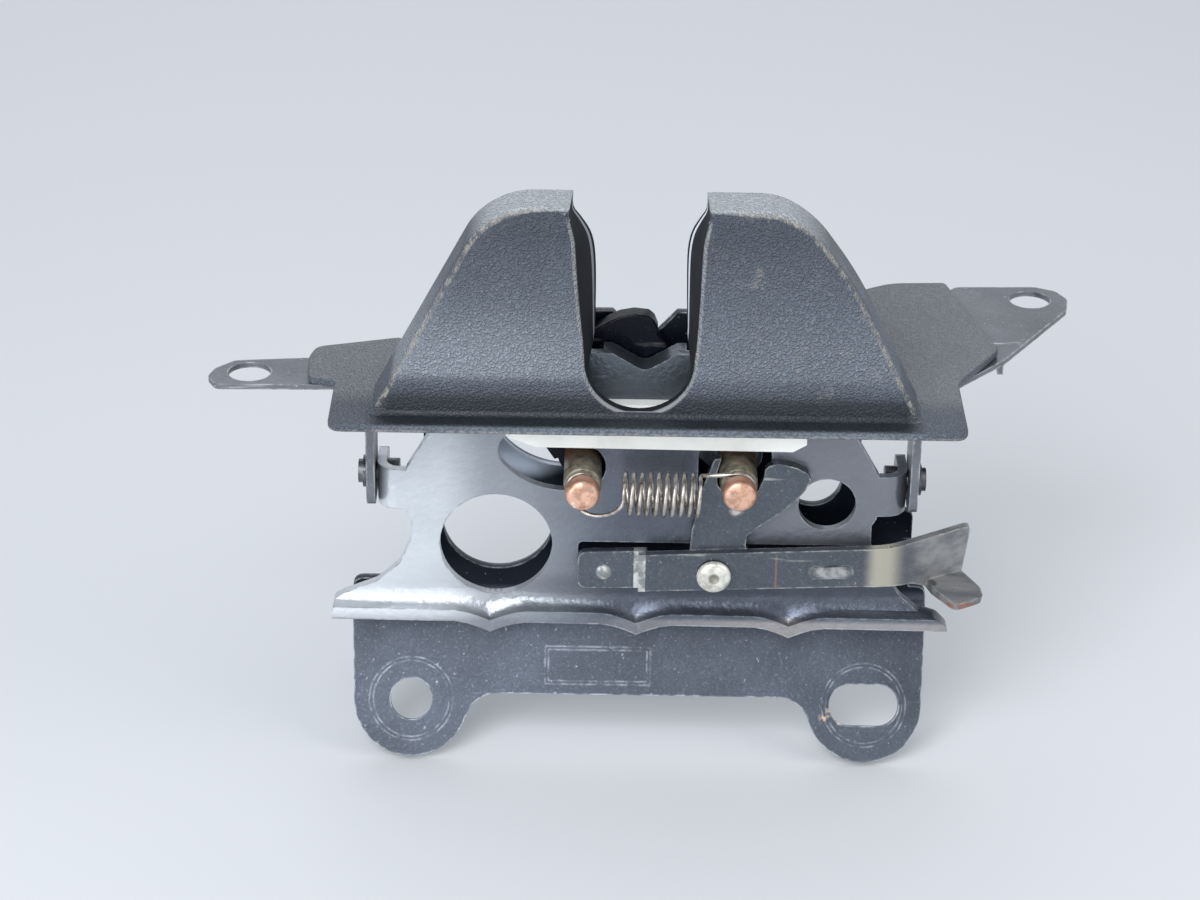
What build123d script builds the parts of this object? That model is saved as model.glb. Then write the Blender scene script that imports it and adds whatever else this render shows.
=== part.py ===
"""Seat latch with a fork claw, a pawl, a release lever and a moulded cover.

Every length is in millimetres and +Z is up. The origin is the bottom of the
striker throat on the front face of the front plate. X runs to the right and
Y runs away from the viewer, so that the cover's front is at negative Y.
"""
import os
from math import atan2, cos, degrees, pi, radians, sin, tan

from build123d import *

# Sheets and layers, front to back
sheet = 2.0
front_y = 0.0
claw_front = 6.0
claw_back = 10.0
back_y = 11.0

# Striker throat
throat_half = 6.65
throat_depth = 3.66
throat_lip_back = 5.4

# Pivots and studs, as (x, z)
claw_pivot = (-16.0, -11.0)
pawl_pivot = (16.0, -11.0)
lever_pivot = (15.3, -45.5)
claw_stud_at = (-12.4, -22.5)
pawl_stud_at = (19.7, -22.1)
pivot_r = 3.5
tenon_r = 2.5
running_gap = 0.35

# Stud steps along Y
collar_r = 3.9
collar_end = -8.2
groove_r = 2.4
groove_end = -10.0
head_r = 3.55
head_end = -13.7

# Openings in the plates
big_hole = (-30.4, -41.0, 11.8)
small_hole = (38.6, -30.5, 6.0)
small_hole_back_shift = -2.4
arc_outer = 17.0
arc_inner = 6.8
arc_start = -74.0
arc_end = -138.0

# Flange at the foot
bend_z = -58.9
flange_lean = 27.0
bend_r = 3.0
flange_half = 61.0
web_edge = 21.7
ear_s = 23.1
ear_x = 48.7
ear_r = 12.3
neck_r = 7.0
bolt_r = 4.5
slot_half = 3.0

# Pressed lip at the foot of the front plate
lip_top = -52.0
dart_x = (-31.6, -0.7, 31.5)
dart_half = 7.5
dart_drop = 2.1

# Release lever
lever_t = 1.8
lever_front = -4.0
lever_low_front = -2.3
lever_bend_x = 51.9
lever_bend = 29.0
lever_bend_r = 14.0
tab_droop = 15.0

# Return spring
wire_r = 0.44
spring_r = 4.3
spring_y = -9.1
spring_z = -23.9
spring_x0 = -4.1
spring_x1 = 11.9
spring_turns = 9.25

# Cover
rim_bottom = -8.7
rim_top = -6.6
rim_front = -13.5
hood_front = -8.95
hood_lean = 4.0
hood_back = 4.8
hood_top = 37.4
shell = 2.0

# Sides of the cover's notch at Y -14 and at Y 6, upwards
notch_front_left = [
    (-13.5, 7.0), (-16.2, 19.0), (-18.0, 27.0), (-18.6, 32.0), (-18.8, 35.6),
    (-18.9, 37.6), (-18.9, 60.0),
]
notch_rear_left = [
    (-10.0, 5.0), (-10.0, 19.0), (-10.1, 27.0), (-11.3, 32.0), (-13.6, 35.6),
    (-17.0, 37.6), (-18.9, 60.0),
]
notch_front_right = [
    (10.6, 7.0), (12.5, 19.0), (13.2, 27.0), (13.6, 32.0), (13.9, 35.6),
    (14.1, 37.6), (14.1, 60.0),
]
notch_rear_right = [
    (8.3, 5.0), (8.2, 19.0), (8.0, 27.0), (9.4, 32.0), (11.4, 35.6),
    (13.4, 37.6), (14.1, 60.0),
]

# Side brackets
bracket_t = 1.2
leg_in = 55.55
leg_out = 57.35
cross_rivet = (6.5, -27.5)


def arc_points(cx, cz, r, a0, a1, n):
    """Return n + 1 points on an arc of radius r from a0 to a1 degrees."""
    out = []
    for i in range(n + 1):
        a = radians(a0 + (a1 - a0) * i / n)
        out.append((cx + r * cos(a), cz + r * sin(a)))
    return out


def rounded(points, n=4):
    """Round each corner given as (x, y, r) and return a plain outline."""
    out = []
    count = len(points)
    for i in range(count):
        p = points[i]
        if len(p) == 2 or p[2] <= 0:
            out.append((p[0], p[1]))
            continue
        a = points[i - 1]
        b = points[(i + 1) % count]
        ax, ay = a[0] - p[0], a[1] - p[1]
        bx, by = b[0] - p[0], b[1] - p[1]
        la = (ax * ax + ay * ay) ** 0.5
        lb = (bx * bx + by * by) ** 0.5
        ax, ay, bx, by = ax / la, ay / la, bx / lb, by / lb
        dot = max(-1.0, min(1.0, ax * bx + ay * by))
        half = ((1 - dot) / (1 + dot)) ** 0.5
        cut = min(p[2] / half, 0.48 * la, 0.48 * lb)
        for k in range(n + 1):
            t = k / n
            u, v, w = (1 - t) ** 2, 2 * t * (1 - t), t ** 2
            x = u * (p[0] + ax * cut) + v * p[0] + w * (p[0] + bx * cut)
            y = u * (p[1] + ay * cut) + v * p[1] + w * (p[1] + by * cut)
            out.append((x, y))
    return out


def outline_face(plane, points):
    """Return a flat face with this outline on this plane."""
    kept = []
    for p in points:
        if not kept or abs(p[0] - kept[-1][0]) + abs(p[1] - kept[-1][1]) > 0.001:
            kept.append(p)
    if abs(kept[0][0] - kept[-1][0]) + abs(kept[0][1] - kept[-1][1]) < 0.001:
        kept.pop()
    return plane * make_face(Polyline(*kept, close=True))


def slab(points, y0, y1):
    """Extrude an (x, z) outline from y0 back to y1."""
    plane = Plane.XZ.offset(-y0)
    return extrude(outline_face(plane, points), amount=-(y1 - y0))


def deck(points, z0, z1):
    """Extrude an (x, y) outline from z0 up to z1."""
    plane = Plane.XY.offset(z0)
    return extrude(outline_face(plane, points), amount=z1 - z0)


def side(points, x0, x1):
    """Extrude a (y, z) outline from x0 to x1."""
    plane = Plane.YZ.offset(x0)
    return extrude(outline_face(plane, points), amount=x1 - x0)


def pin(x, z, r, y0, y1):
    """Return a round bar along Y."""
    return Pos(x, (y0 + y1) / 2, z) * Rot(90, 0, 0) * Cylinder(r, y1 - y0)


def bar_x(y, z, r, x0, x1):
    """Return a round bar along X."""
    return Pos((x0 + x1) / 2, y, z) * Rot(0, 90, 0) * Cylinder(r, x1 - x0)


def block(x0, x1, y0, y1, z0, z1):
    """Return a box between two corners."""
    where = Pos((x0 + x1) / 2, (y0 + y1) / 2, (z0 + z1) / 2)
    return where * Box(x1 - x0, y1 - y0, z1 - z0)


def band(path, t):
    """Give an open path the thickness t and return its outline."""
    left = []
    right = []
    n = len(path)
    for i in range(n):
        a = path[max(i - 1, 0)]
        b = path[min(i + 1, n - 1)]
        dx, dy = b[0] - a[0], b[1] - a[1]
        d = (dx * dx + dy * dy) ** 0.5
        nx, ny = -dy / d * t / 2, dx / d * t / 2
        left.append((path[i][0] + nx, path[i][1] + ny))
        right.append((path[i][0] - nx, path[i][1] - ny))
    return left + right[::-1]


def about(points, pivot):
    """Shift a list of points so that they are measured from a pivot."""
    return [(x + pivot[0], z + pivot[1]) for x, z in points]


def mirror_x(points):
    """Mirror an outline left to right and keep its direction."""
    return [(-p[0],) + tuple(p[1:]) for p in points][::-1]


def arc_slot(centre, r0, r1, a0, a1, y0, y1):
    """Return a cutter for a round-ended slot on an arc."""
    mid = (r0 + r1) / 2
    half = (r1 - r0) / 2
    cx, cz = centre
    ring = arc_points(cx, cz, r1, a0, a1, 16)
    ring = ring + arc_points(cx, cz, r0, a1, a0, 16)
    cutter = slab(ring, y0, y1)
    for a in (a0, a1):
        x = cx + mid * cos(radians(a))
        z = cz + mid * sin(radians(a))
        cutter = cutter + pin(x, z, half, y0, y1)
    return cutter


def skin(rings):
    """Join rings of corners with triangles and close both ends flat."""
    faces = [Face(Wire.make_polygon(r, close=True)) for r in (rings[0], rings[-1])]
    count = len(rings[0])
    for a, b in zip(rings[:-1], rings[1:]):
        for k in range(count):
            m = (k + 1) % count
            for corners in ((a[k], a[m], b[m]), (a[k], b[m], b[k])):
                faces.append(Face(Wire.make_polygon(corners, close=True)))
    return Solid(Shell(faces))


def make_lip():
    """Return the foot of the front plate, bent forward and pressed down at three darts."""
    section = [
        (0.0, lip_top), (-0.35, -53.4), (-1.2, -54.6), (-2.3, -55.3), (-3.1, -55.6),
        (-3.5, -58.1), (-2.2, -57.9), (-0.3, -57.3), (1.2, -56.0), (1.8, -54.6),
        (2.0, lip_top),
    ]
    stations = [-66.0, 66.0]
    for x in dart_x:
        for t in (-1.0, -0.66, -0.36, -0.14, 0.0, 0.14, 0.36, 0.66, 1.0):
            stations.append(x + dart_half * t)
    rings = []
    for x in sorted(stations):
        near = min(abs(x - c) for c in dart_x) / dart_half
        drop = dart_drop * max(0.0, 1.0 - near) ** 1.6 + 0.006 * x
        ring = []
        for y, z in section:
            share = min(1.0, (lip_top - z) / 3.0)
            ring.append(Vector(x, y - 0.25 * drop * share, z - drop * share))
        rings.append(ring)
    return skin(rings)


def make_front_plate():
    """Return the pressed front plate with ears, darts and its throat lip."""
    half = [
        (34.0, throat_depth, 3.0), (44.8, -16.1, 4.0), (49.1, -23.6, 1.0),
        (49.1, -33.6, 0.8), (48.1, -35.4, 1.5), (48.2, -40.0, 3.0),
        (50.8, -46.0, 4.0),
    ]
    right = [
        (55.0, -52.0, 5.0), (58.6, -54.9, 2.5), (62.6, -55.9, 2.0),
        (65.0, -57.6, 1.2), (65.0, -63.0, 0.0),
    ]
    left = [
        (55.4, -50.2, 4.0), (62.4, -53.2, 2.0), (64.6, -54.4, 1.0),
        (65.1, -56.6, 1.0), (64.6, -63.0, 0.0),
    ]
    outline = rounded(half + right + mirror_x(half + left))
    plate = slab(outline, front_y, front_y + sheet)
    plate = plate - block(-70, 70, -1, 4, -70, lip_top)
    plate = plate + (make_lip() & slab(outline, -8, 4))
    for s in (1, -1):
        path = [(s * 46.0, 1.0)]
        for x, y in arc_points(50.8, 4.5, 3.5, -90, 0, 8):
            path.append((s * x, y))
        path.append((s * 54.3, 13.2))
        ear = deck(band(path, sheet), -33.1, -23.9)
        trim = rounded([
            (-1.0, -33.1, 0), (12.9, -33.1, 3.0),
            (12.9, -23.9, 3.0), (-1.0, -23.9, 0),
        ])
        ear = ear & side(trim, min(s * 44, s * 60), max(s * 44, s * 60))
        plate = plate + ear
        y, z = cross_rivet
        hole = bar_x(y, z, 2.1, min(s * 50, s * 60), max(s * 50, s * 60))
        plate = plate - hole
    vee = rounded([
        (-throat_half - 1.8, throat_depth + 1.0, 0),
        (-throat_half, throat_depth, 0), (0, -0.35, 3.0),
        (throat_half, throat_depth, 0),
        (throat_half + 1.8, throat_depth + 1.0, 0),
    ])
    low = [(x, z - 2.0) for x, z in vee]
    lip = slab(vee + low[::-1], front_y, throat_lip_back)
    cap = block(-12, 12, -1, 8, -6, throat_depth)
    plate = plate + (lip & cap)
    plate = plate - slab(vee + [(throat_half + 1.8, 9), (-throat_half - 1.8, 9)], -1, 8)
    plate = plate - pin(big_hole[0], big_hole[1], big_hole[2], -2, 4)
    plate = plate - pin(small_hole[0], small_hole[1], small_hole[2], -2, 4)
    plate = plate - arc_slot(claw_pivot, arc_inner, arc_outer, arc_start, arc_end, -2, 4)
    stud_window = rounded([
        (11.5, -29.5, 3.0), (26.7, -29.5, 3.0),
        (26.7, -16.6, 2.5), (11.5, -16.6, 2.5),
    ])
    plate = plate - slab(stud_window, -2, 4)
    slit = rounded([
        (-13.2, -43.6, 1.2), (48.1, -43.6, 1.2),
        (48.1, -40.1, 1.2), (-13.2, -40.1, 1.2),
    ])
    plate = plate - slab(slit, -2, 4)
    plate = plate + block(-11.5, 46.5, 1.0, 4.4, -40.1, -38.9)
    for x, z in (claw_pivot, pawl_pivot, lever_pivot):
        plate = plate - pin(x, z, tenon_r + 0.05, -2, 6)
    for x in (-6.0, 27.0):
        plate = plate - pin(x, -12.5, 1.6, -2, 4)
    return plate


def make_back_plate():
    """Return the back plate with the leaning bolt flange at its foot."""
    half = [
        (34.0, 8.0, 3.0), (46.0, -16.0, 4.0), (46.0, -48.0, 5.0),
        (51.0, -55.8, 4.0), (61.6, -55.8, 2.5), (61.6, bend_z, 0.0),
    ]
    half[-1] = (61.6, -110.0)
    outline = rounded(half + mirror_x(half))
    lean = radians(flange_lean)
    mid_y = back_y + sheet / 2
    mid_z = bend_z - tan(lean / 2) * sheet / 2
    cut = bend_r * tan(lean / 2)
    path = [(mid_y, 12.0)]
    path += [
        (mid_y - bend_r + bend_r * cos(a), mid_z + cut - bend_r * sin(a))
        for a in [lean * i / 6 for i in range(7)]
    ]
    path.append((mid_y - 42.0 * sin(lean), mid_z - 42.0 * cos(lean)))
    plate = side(band(path, sheet), -61.6, 61.6)
    plate = plate & slab(outline, -40.0, 40.0)
    vee = rounded([
        (-throat_half - 1.5, 9.5, 0), (-throat_half, 8.0, 0), (0, 0.6, 3.0),
        (throat_half, 8.0, 0), (throat_half + 1.5, 9.5, 0),
    ])
    plate = plate - slab(vee, back_y - 1, back_y + 4)
    foot = Plane(
        origin=(0, back_y, bend_z), x_dir=(1, 0, 0),
        z_dir=(0, cos(lean), -sin(lean)),
    )
    drop = web_edge + neck_r - ear_s
    reach = ((ear_r + neck_r) ** 2 - drop ** 2) ** 0.5
    turn = degrees(atan2(drop, reach))
    neck = ear_x - reach
    lower = [(70.0, 60.0), (70.0, 3.0), (61.6, 3.0), (flange_half, ear_s)]
    lower += arc_points(ear_x, ear_s, ear_r, 0, 180 - turn, 18)
    lower += arc_points(neck, web_edge + neck_r, neck_r, -turn, -90, 6)
    lower += arc_points(-neck, web_edge + neck_r, neck_r, -90, turn - 180, 6)
    lower += arc_points(-ear_x, ear_s, ear_r, turn, 180, 18)
    lower += [(-flange_half, ear_s), (-61.6, 3.0), (-70.0, 3.0), (-70.0, 60.0)]
    plate = plate - extrude(outline_face(foot, lower), amount=8, both=True)
    plate = plate - foot * Pos(-ear_x, ear_s, 0) * Cylinder(bolt_r, 10)
    slot = rounded([
        (ear_x - slot_half, ear_s - bolt_r), (ear_x + slot_half, ear_s - bolt_r),
        (ear_x + slot_half, ear_s + bolt_r), (ear_x - slot_half, ear_s + bolt_r),
    ])
    cutter = extrude(outline_face(foot, slot), amount=5, both=True)
    for dx in (-slot_half, slot_half):
        cutter = cutter + foot * Pos(ear_x + dx, ear_s, 0) * Cylinder(bolt_r, 10)
    plate = plate - cutter
    for x in (-ear_x, ear_x):
        mark = foot * Pos(x, ear_s, 0) * Cylinder(9.0, 0.4)
        keep = foot * Pos(x, ear_s, 0) * Cylinder(8.2, 0.8)
        plate = plate - (mark - keep)
    outer = [(-20.0, 11.4), (2.6, 11.4), (2.6, 19.5), (-20.0, 19.5)]
    inner = [(-19.3, 12.1), (1.9, 12.1), (1.9, 18.8), (-19.3, 18.8)]
    frame = extrude(outline_face(foot, outer), amount=0.2)
    frame = frame - extrude(outline_face(foot, inner), amount=0.4)
    plate = plate - frame
    strip = rounded([
        (44.0, -57.0, 0), (57.8, -57.0, 0), (57.8, -38.0, 1.5), (50.0, -35.5, 3.0),
        (44.0, -35.5, 0),
    ])
    plate = plate + slab(strip, back_y, back_y + sheet)
    plate = plate - pin(big_hole[0], big_hole[1], big_hole[2], back_y - 1, back_y + 4)
    sx = small_hole[0] + small_hole_back_shift
    plate = plate - pin(sx, small_hole[1], small_hole[2], back_y - 1, back_y + 4)
    cutter = arc_slot(claw_pivot, arc_inner, arc_outer, arc_start, arc_end, 0, 4)
    plate = plate - Pos(0, back_y - 1, 0) * cutter
    for x, z in (claw_pivot, pawl_pivot):
        plate = plate - pin(x, z, tenon_r + 0.05, back_y - 1, back_y + 4)
    return plate


def make_claw():
    """Return the fork claw in its open position."""
    right = [(9.0, -8.5), (17.5, -11.0), (22.3, -9.5)]
    right += arc_points(0, 0, 24.6, -18, 13, 9)
    right += arc_points(0, 0, 21.5, 16, 25, 4)
    right += arc_points(0, 0, 24.6, 26, 41, 5)
    tip = [
        (18.6, 17.4), (17.9, 19.2), (16.6, 20.3), (13.8, 20.6), (10.7, 20.0),
        (8.7, 19.0), (6.1, 17.4), (2.5, 15.8), (-1.0, 15.4), (-3.8, 16.6),
        (-5.2, 19.5), (-5.0, 24.5), (-6.5, 26.4), (-9.5, 25.9), (-12.8, 22.0),
        (-14.4, 14.0), (-12.6, 4.0), (-9.0, -3.5), (-5.0, -9.0), (-2.4, -13.0),
    ]
    body = slab(about(right + tip, claw_pivot), claw_front, claw_back)
    body = body + pin(claw_pivot[0], claw_pivot[1], 9.0, claw_front, claw_back)
    body = body + pin(claw_stud_at[0], claw_stud_at[1], 5.4, claw_front, claw_back)
    r = pivot_r + running_gap
    body = body - pin(claw_pivot[0], claw_pivot[1], r, claw_front - 1, claw_back + 1)
    return body - pin(claw_stud_at[0], claw_stud_at[1], tenon_r, claw_front - 1, claw_back + 1)


def make_pawl():
    """Return the pawl with its nose just clear of the claw's rim."""
    shape = [
        (-5.9, -1.5), (-7.87, -6.92), (-8.57, -8.99), (-5.0, -11.5),
        (0.0, -15.6), (5.0, -16.2), (8.9, -12.0), (6.2, 0.0),
    ]
    body = slab(about(shape, pawl_pivot), claw_front, claw_back)
    body = body + pin(pawl_pivot[0], pawl_pivot[1], 6.3, claw_front, claw_back)
    body = body + pin(pawl_stud_at[0], pawl_stud_at[1], 5.4, claw_front, claw_back)
    r = pivot_r + running_gap
    body = body - pin(pawl_pivot[0], pawl_pivot[1], r, claw_front - 1, claw_back + 1)
    return body - pin(pawl_stud_at[0], pawl_stud_at[1], tenon_r, claw_front - 1, claw_back + 1)


def make_stud(at):
    """Return a stepped stud from the back of its plate to its head."""
    x, z = at
    stud = pin(x, z, tenon_r, claw_front - 0.5, claw_back)
    stud = stud + pin(x, z, collar_r, collar_end, claw_front)
    stud = stud + pin(x, z, groove_r, groove_end - 0.5, collar_end + 0.5)
    head = pin(x, z, head_r, head_end, groove_end)
    rim = head.edges().filter_by(GeomType.CIRCLE).sort_by(Axis.Y)[0]
    head = chamfer(rim, 0.7)
    return stud + head


def make_pivot_rivet(at):
    """Return a shoulder rivet between the two plates."""
    x, z = at
    rivet = pin(x, z, tenon_r, 0.0, back_y + sheet)
    rivet = rivet + pin(x, z, pivot_r, front_y + sheet, back_y)
    rivet = rivet + pin(x, z, 5.0, front_y + sheet, claw_front - 0.3)
    rivet = rivet + pin(x, z, 5.0, claw_back + 0.3, back_y)
    return rivet + pin(x, z, 4.0, back_y + sheet, back_y + sheet + 1.2)


def make_buffer_strip():
    """Return the cream strip with two pegs through the front plate."""
    shape = [
        (-27.5, -6.7), (-27.5, -14.6), (-22.1, -16.7), (30.8, -16.95),
        (33.6, -15.3), (33.6, -6.7),
    ]
    strip = slab(shape, -2.7, 0.0)
    for x in (-6.0, 27.0):
        strip = strip + pin(x, -12.5, 1.5, -1.0, 3.0)
    return strip


def make_release_lever():
    """Return the forked lever with its bent end and folded tab."""
    back = lever_front + lever_t
    low_back = lever_low_front + lever_t
    arm = [
        (10.2, -43.6), (10.2, -40.5), (10.5, -35.7), (11.5, -31.5),
        (12.3, -26.3), (13.6, -22.5), (14.7, -19.1), (16.2, -18.9),
        (15.3, -22.3), (15.5, -25.0), (17.0, -27.2), (19.7, -28.0),
        (22.4, -27.6), (24.0, -26.2), (25.1, -23.3), (25.3, -21.3),
        (26.0, -20.5), (28.1, -19.9), (31.8, -20.8), (34.2, -22.1),
        (34.8, -23.6), (33.9, -25.9), (32.1, -28.3), (28.5, -31.7),
        (24.1, -35.0), (22.0, -37.0), (21.8, -39.4), (22.8, -41.0),
        (22.8, -43.2),
    ]
    lever = slab(arm, lever_low_front, low_back)
    lever = lever + block(10.2, 22.8, lever_front, low_back, -43.4, -41.4)
    strip = [
        (-0.5, -41.0), (48.8, -38.75), (48.8, -47.6), (-0.5, -49.7),
    ]
    lever = lever + slab(strip, lever_front, back)
    low = rounded([
        (1.3, -40.9, 0), (1.3, -49.7, 0), (-13.2, -50.0, 2.0), (-13.2, -41.4, 2.0),
    ])
    lever = lever + slab(low, lever_low_front, low_back)
    lever = lever + slab(
        [(-0.5, -41.0), (1.3, -40.9), (1.3, -49.7), (-0.5, -49.7)],
        lever_front, low_back,
    )
    lean = radians(lever_bend)
    start = lever_bend_x - lever_bend_r * tan(lean / 2)
    mid_y = lever_front + lever_t / 2
    path = [(start - 1.0, mid_y)]
    path += arc_points(start, mid_y + lever_bend_r, lever_bend_r, -90, lever_bend - 90, 8)
    last = path[-1]
    path.append((last[0] + 22.0 * cos(lean), last[1] + 22.0 * sin(lean)))
    tail = deck(band(path, lever_t), -53.0, -35.0)
    trim = rounded([
        (40.0, -39.1, 0), (51.9, -38.6, 4.0), (69.7, -37.8, 1.6), (68.0, -49.8, 0.8),
        (60.3, -49.8, 0.8), (57.1, -48.2, 3.0), (51.1, -47.7, 0), (40.0, -47.9, 0),
    ])
    lever = lever + (tail & slab(trim, -10, 25))
    droop = radians(tab_droop)
    ahead = Vector(sin(lean), -cos(lean), 0)
    fold = Plane(
        origin=(60.3, 0.7, -48.2), x_dir=(cos(lean), sin(lean), 0),
        z_dir=Vector(0, 0, 1) * cos(droop) + ahead * sin(droop),
    )
    tab = rounded([
        (0.0, 1.0, 0), (8.7, 1.0, 0), (9.9, -6.2, 2.0), (9.0, -8.8, 1.5),
        (1.9, -9.2, 2.0), (0.0, -3.0, 2.0),
    ])
    lever = lever + extrude(outline_face(fold, tab), amount=-lever_t)
    oval = arc_points(43.0, -44.2, 1.4, -90, 90, 8)
    oval += arc_points(36.6, -44.4, 1.4, 90, 270, 8)
    lever = lever + slab(oval, lever_front - 0.5, lever_front + 0.2)
    pip = Pos(-7.7, lever_low_front + 2.6, -46.1) * Sphere(3.2)
    lever = lever + (pip & block(-11, -4, -5, lever_low_front + 0.3, -50, -42))
    x, z = lever_pivot
    lever = lever - pin(x, z, 3.8 + running_gap, back, 1)
    return lever - pin(x, z, tenon_r + running_gap, -8, 2)


def make_lever_rivet():
    """Return the rivet that holds the release lever."""
    x, z = lever_pivot
    head = pin(x, z, 4.1, lever_front - 1.8, lever_front - 0.3)
    rim = head.edges().filter_by(GeomType.CIRCLE).sort_by(Axis.Y)[0]
    head = chamfer(rim, 0.6)
    dimple = Pos(x, lever_front - 1.6, z) * Rot(90, 0, 0) * Cone(0.6, 1.8, 1.0)
    head = head - dimple
    rivet = head + pin(x, z, tenon_r, lever_front - 0.5, front_y + sheet)
    return rivet + pin(x, z, 3.8, lever_front + lever_t + 0.3, front_y)


def faceted_wire(path, r, sides):
    """Set a ring of corners round each point of a path and join the rings."""
    points = [Vector(*p) for p in path]
    count = len(points)
    rings = []
    across = Vector(0, 0, 1)
    for i in range(count):
        ahead = points[min(i + 1, count - 1)] - points[max(i - 1, 0)]
        ahead = ahead.normalized()
        across = (across - ahead * across.dot(ahead)).normalized()
        other = ahead.cross(across)
        ring = []
        for k in range(sides):
            t = 2 * pi * k / sides
            ring.append(points[i] + across * (r * cos(t)) + other * (r * sin(t)))
        rings.append(ring)
    return skin(rings)


def make_spring():
    """Return the return spring, a helix along X with a hook at each end."""
    x1, z1 = claw_stud_at
    x2, z2 = pawl_stud_at
    hook = groove_r + wire_r + 0.3
    path = []
    for a in (60, 95, 130, 165, 200, 230):
        t = radians(a)
        path.append((x1 + hook * cos(t), spring_y, z1 + hook * sin(t)))
    path += [
        (-13.0, -9.6, -27.2), (-10.8, -10.4, -28.1), (-8.6, -11.2, -27.9),
        (-6.6, -12.2, -26.9), (-5.1, -13.1, -25.5),
    ]
    per = 12
    steps = round(spring_turns * per)
    for i in range(steps + 1):
        a = -pi - 2 * pi * i / per
        x = spring_x0 + (spring_x1 - spring_x0) * i / steps
        path.append((x, spring_y + spring_r * cos(a), spring_z + spring_r * sin(a)))
    path.append((spring_x1 + 2.0, spring_y + 0.4, spring_z + 4.3))
    path.append((x2 - 2.6, spring_y, z2 + hook - 0.2))
    for a in (90, 50, 10, -30, -70, -110):
        t = radians(a)
        path.append((x2 + hook * cos(t), spring_y, z2 + hook * sin(t)))
    return faceted_wire(path, wire_r, 6)


def horn_outline(off):
    """Return the hood outline in (x, z), moved inwards by off."""
    return rounded([
        (-55.4 + off * 1.16, rim_bottom, 0), (-43.3 + off * 1.16, 13.6, 20.0),
        (-34.6 + off * 1.1, 32.8 - off * 0.4, 9.0), (-27.5 + off * 0.4, hood_top - off, 5.0),
        (26.6 - off * 0.4, hood_top - off, 5.0), (34.0 - off * 1.1, 32.4 - off * 0.4, 9.0),
        (41.0 - off * 1.16, 21.5, 20.0), (56.0 - off * 1.16, rim_bottom, 0),
    ])


def notch_section(left, right, bottom, off):
    """Return the round-bottomed notch outline in (x, z), made wider by off."""
    half_left, half_right = off - left[0][0], off + right[0][0]
    points = [(x - off, z) for x, z in left[:0:-1]]
    mid = (half_left + half_right) / 2
    cx = (half_right - half_left) / 2
    points += arc_points(cx, bottom - off + mid, mid, 180, 360, 16)
    points += [(x + off, z) for x, z in right[1:]]
    return points


def notch_cutter(off):
    """Return the notch, which narrows to the back, where its top corners are round."""
    front = notch_section(notch_front_left, notch_front_right, -5.0, off)
    rear = notch_section(notch_rear_left, notch_rear_right, -4.0, off)
    a = outline_face(Plane.XZ.offset(14.0), front)
    b = outline_face(Plane.XZ.offset(-6.0), rear)
    return loft([a, b])


def leaning_front(shift):
    """Return the space behind the hood's leaning front wall."""
    slope = sin(radians(hood_lean)) / cos(radians(hood_lean))
    y0 = hood_front + shift
    return side([
        (y0, rim_bottom - 2), (40.0, rim_bottom - 2),
        (40.0, 60.0), (y0 + slope * (60.0 - rim_bottom), 60.0),
    ], -80, 80)


def make_cover():
    """Return the moulded hood with its rim and its two wings."""
    outer = slab(horn_outline(0.0), -14.0, hood_back) & leaning_front(0.0)
    outer = outer - notch_cutter(0.0)
    inner = slab(horn_outline(shell), -14.0, hood_back + 4) & leaning_front(shell)
    inner = inner - notch_cutter(shell)
    hood = outer - inner
    rim = rounded([
        (-64.1, rim_front, 3.0), (65.5, rim_front, 3.0), (65.5, 10.5, 2.0),
        (75.7, 27.2, 5.0), (67.8, 61.9, 4.0), (54.8, 60.3, 3.0), (47.2, 55.6, 3.0),
        (50.5, 22.0, 8.0), (53.7, 8.0, 2.0), (53.7, hood_front + 1.5, 0),
        (-53.2, hood_front + 1.5, 0), (-53.2, 8.0, 2.0), (-51.0, 22.0, 3.0),
        (-51.0, 28.9, 2.0), (-68.4, 22.9, 4.0), (-70.5, 19.0, 3.0),
        (-69.7, 8.3, 2.0), (-64.1, 7.0, 1.0),
    ])
    plate = deck(rim, rim_bottom, rim_top)
    cover = hood + plate
    keep_out = block(-52, 52, -0.6, 40, rim_bottom - 3, throat_depth + 0.6)
    keep_out = keep_out & slab([
        (-37.0, 5.0), (-53.0, -20.0), (53.0, -20.0), (37.0, 5.0),
    ], -2, 60)
    cover = cover - keep_out
    return cover - block(-11.0, 11.0, -6.4, 8.0, rim_bottom - 1, 0.5)


def make_bracket(points, hole, s):
    """Return a side bracket with its leg, for side s."""
    plate = deck(rounded(points), rim_bottom - bracket_t, rim_bottom)
    leg = rounded([
        (-1.0, -32.6, 3.5), (9.5, -32.6, 3.5), (9.5, rim_bottom, 0), (-1.0, rim_bottom, 0),
    ])
    x0 = min(s * leg_in, s * leg_out)
    x1 = max(s * leg_in, s * leg_out)
    plate = plate + side(leg, x0, x1)
    plate = plate - bar_x(cross_rivet[0], cross_rivet[1], 2.1, x0 - 1, x1 + 1)
    where = Pos(hole[0], hole[1], rim_bottom)
    return plate - where * Cylinder(hole[2], 10)


def make_bracket_left():
    """Return the left bracket with the short tab."""
    points = [
        (-55.6, -1.0), (-61.5, -1.0, 2.0), (-61.5, 8.8, 2.0), (-89.0, 8.2, 2.0),
        (-91.0, 11.9, 2.0), (-89.9, 15.8, 2.0), (-86.1, 19.8, 3.0),
        (-66.0, 22.2, 2.0), (-55.6, 20.0, 2.0),
    ]
    return make_bracket(points, (-82.5, 14.4, 4.5), -1)


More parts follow.
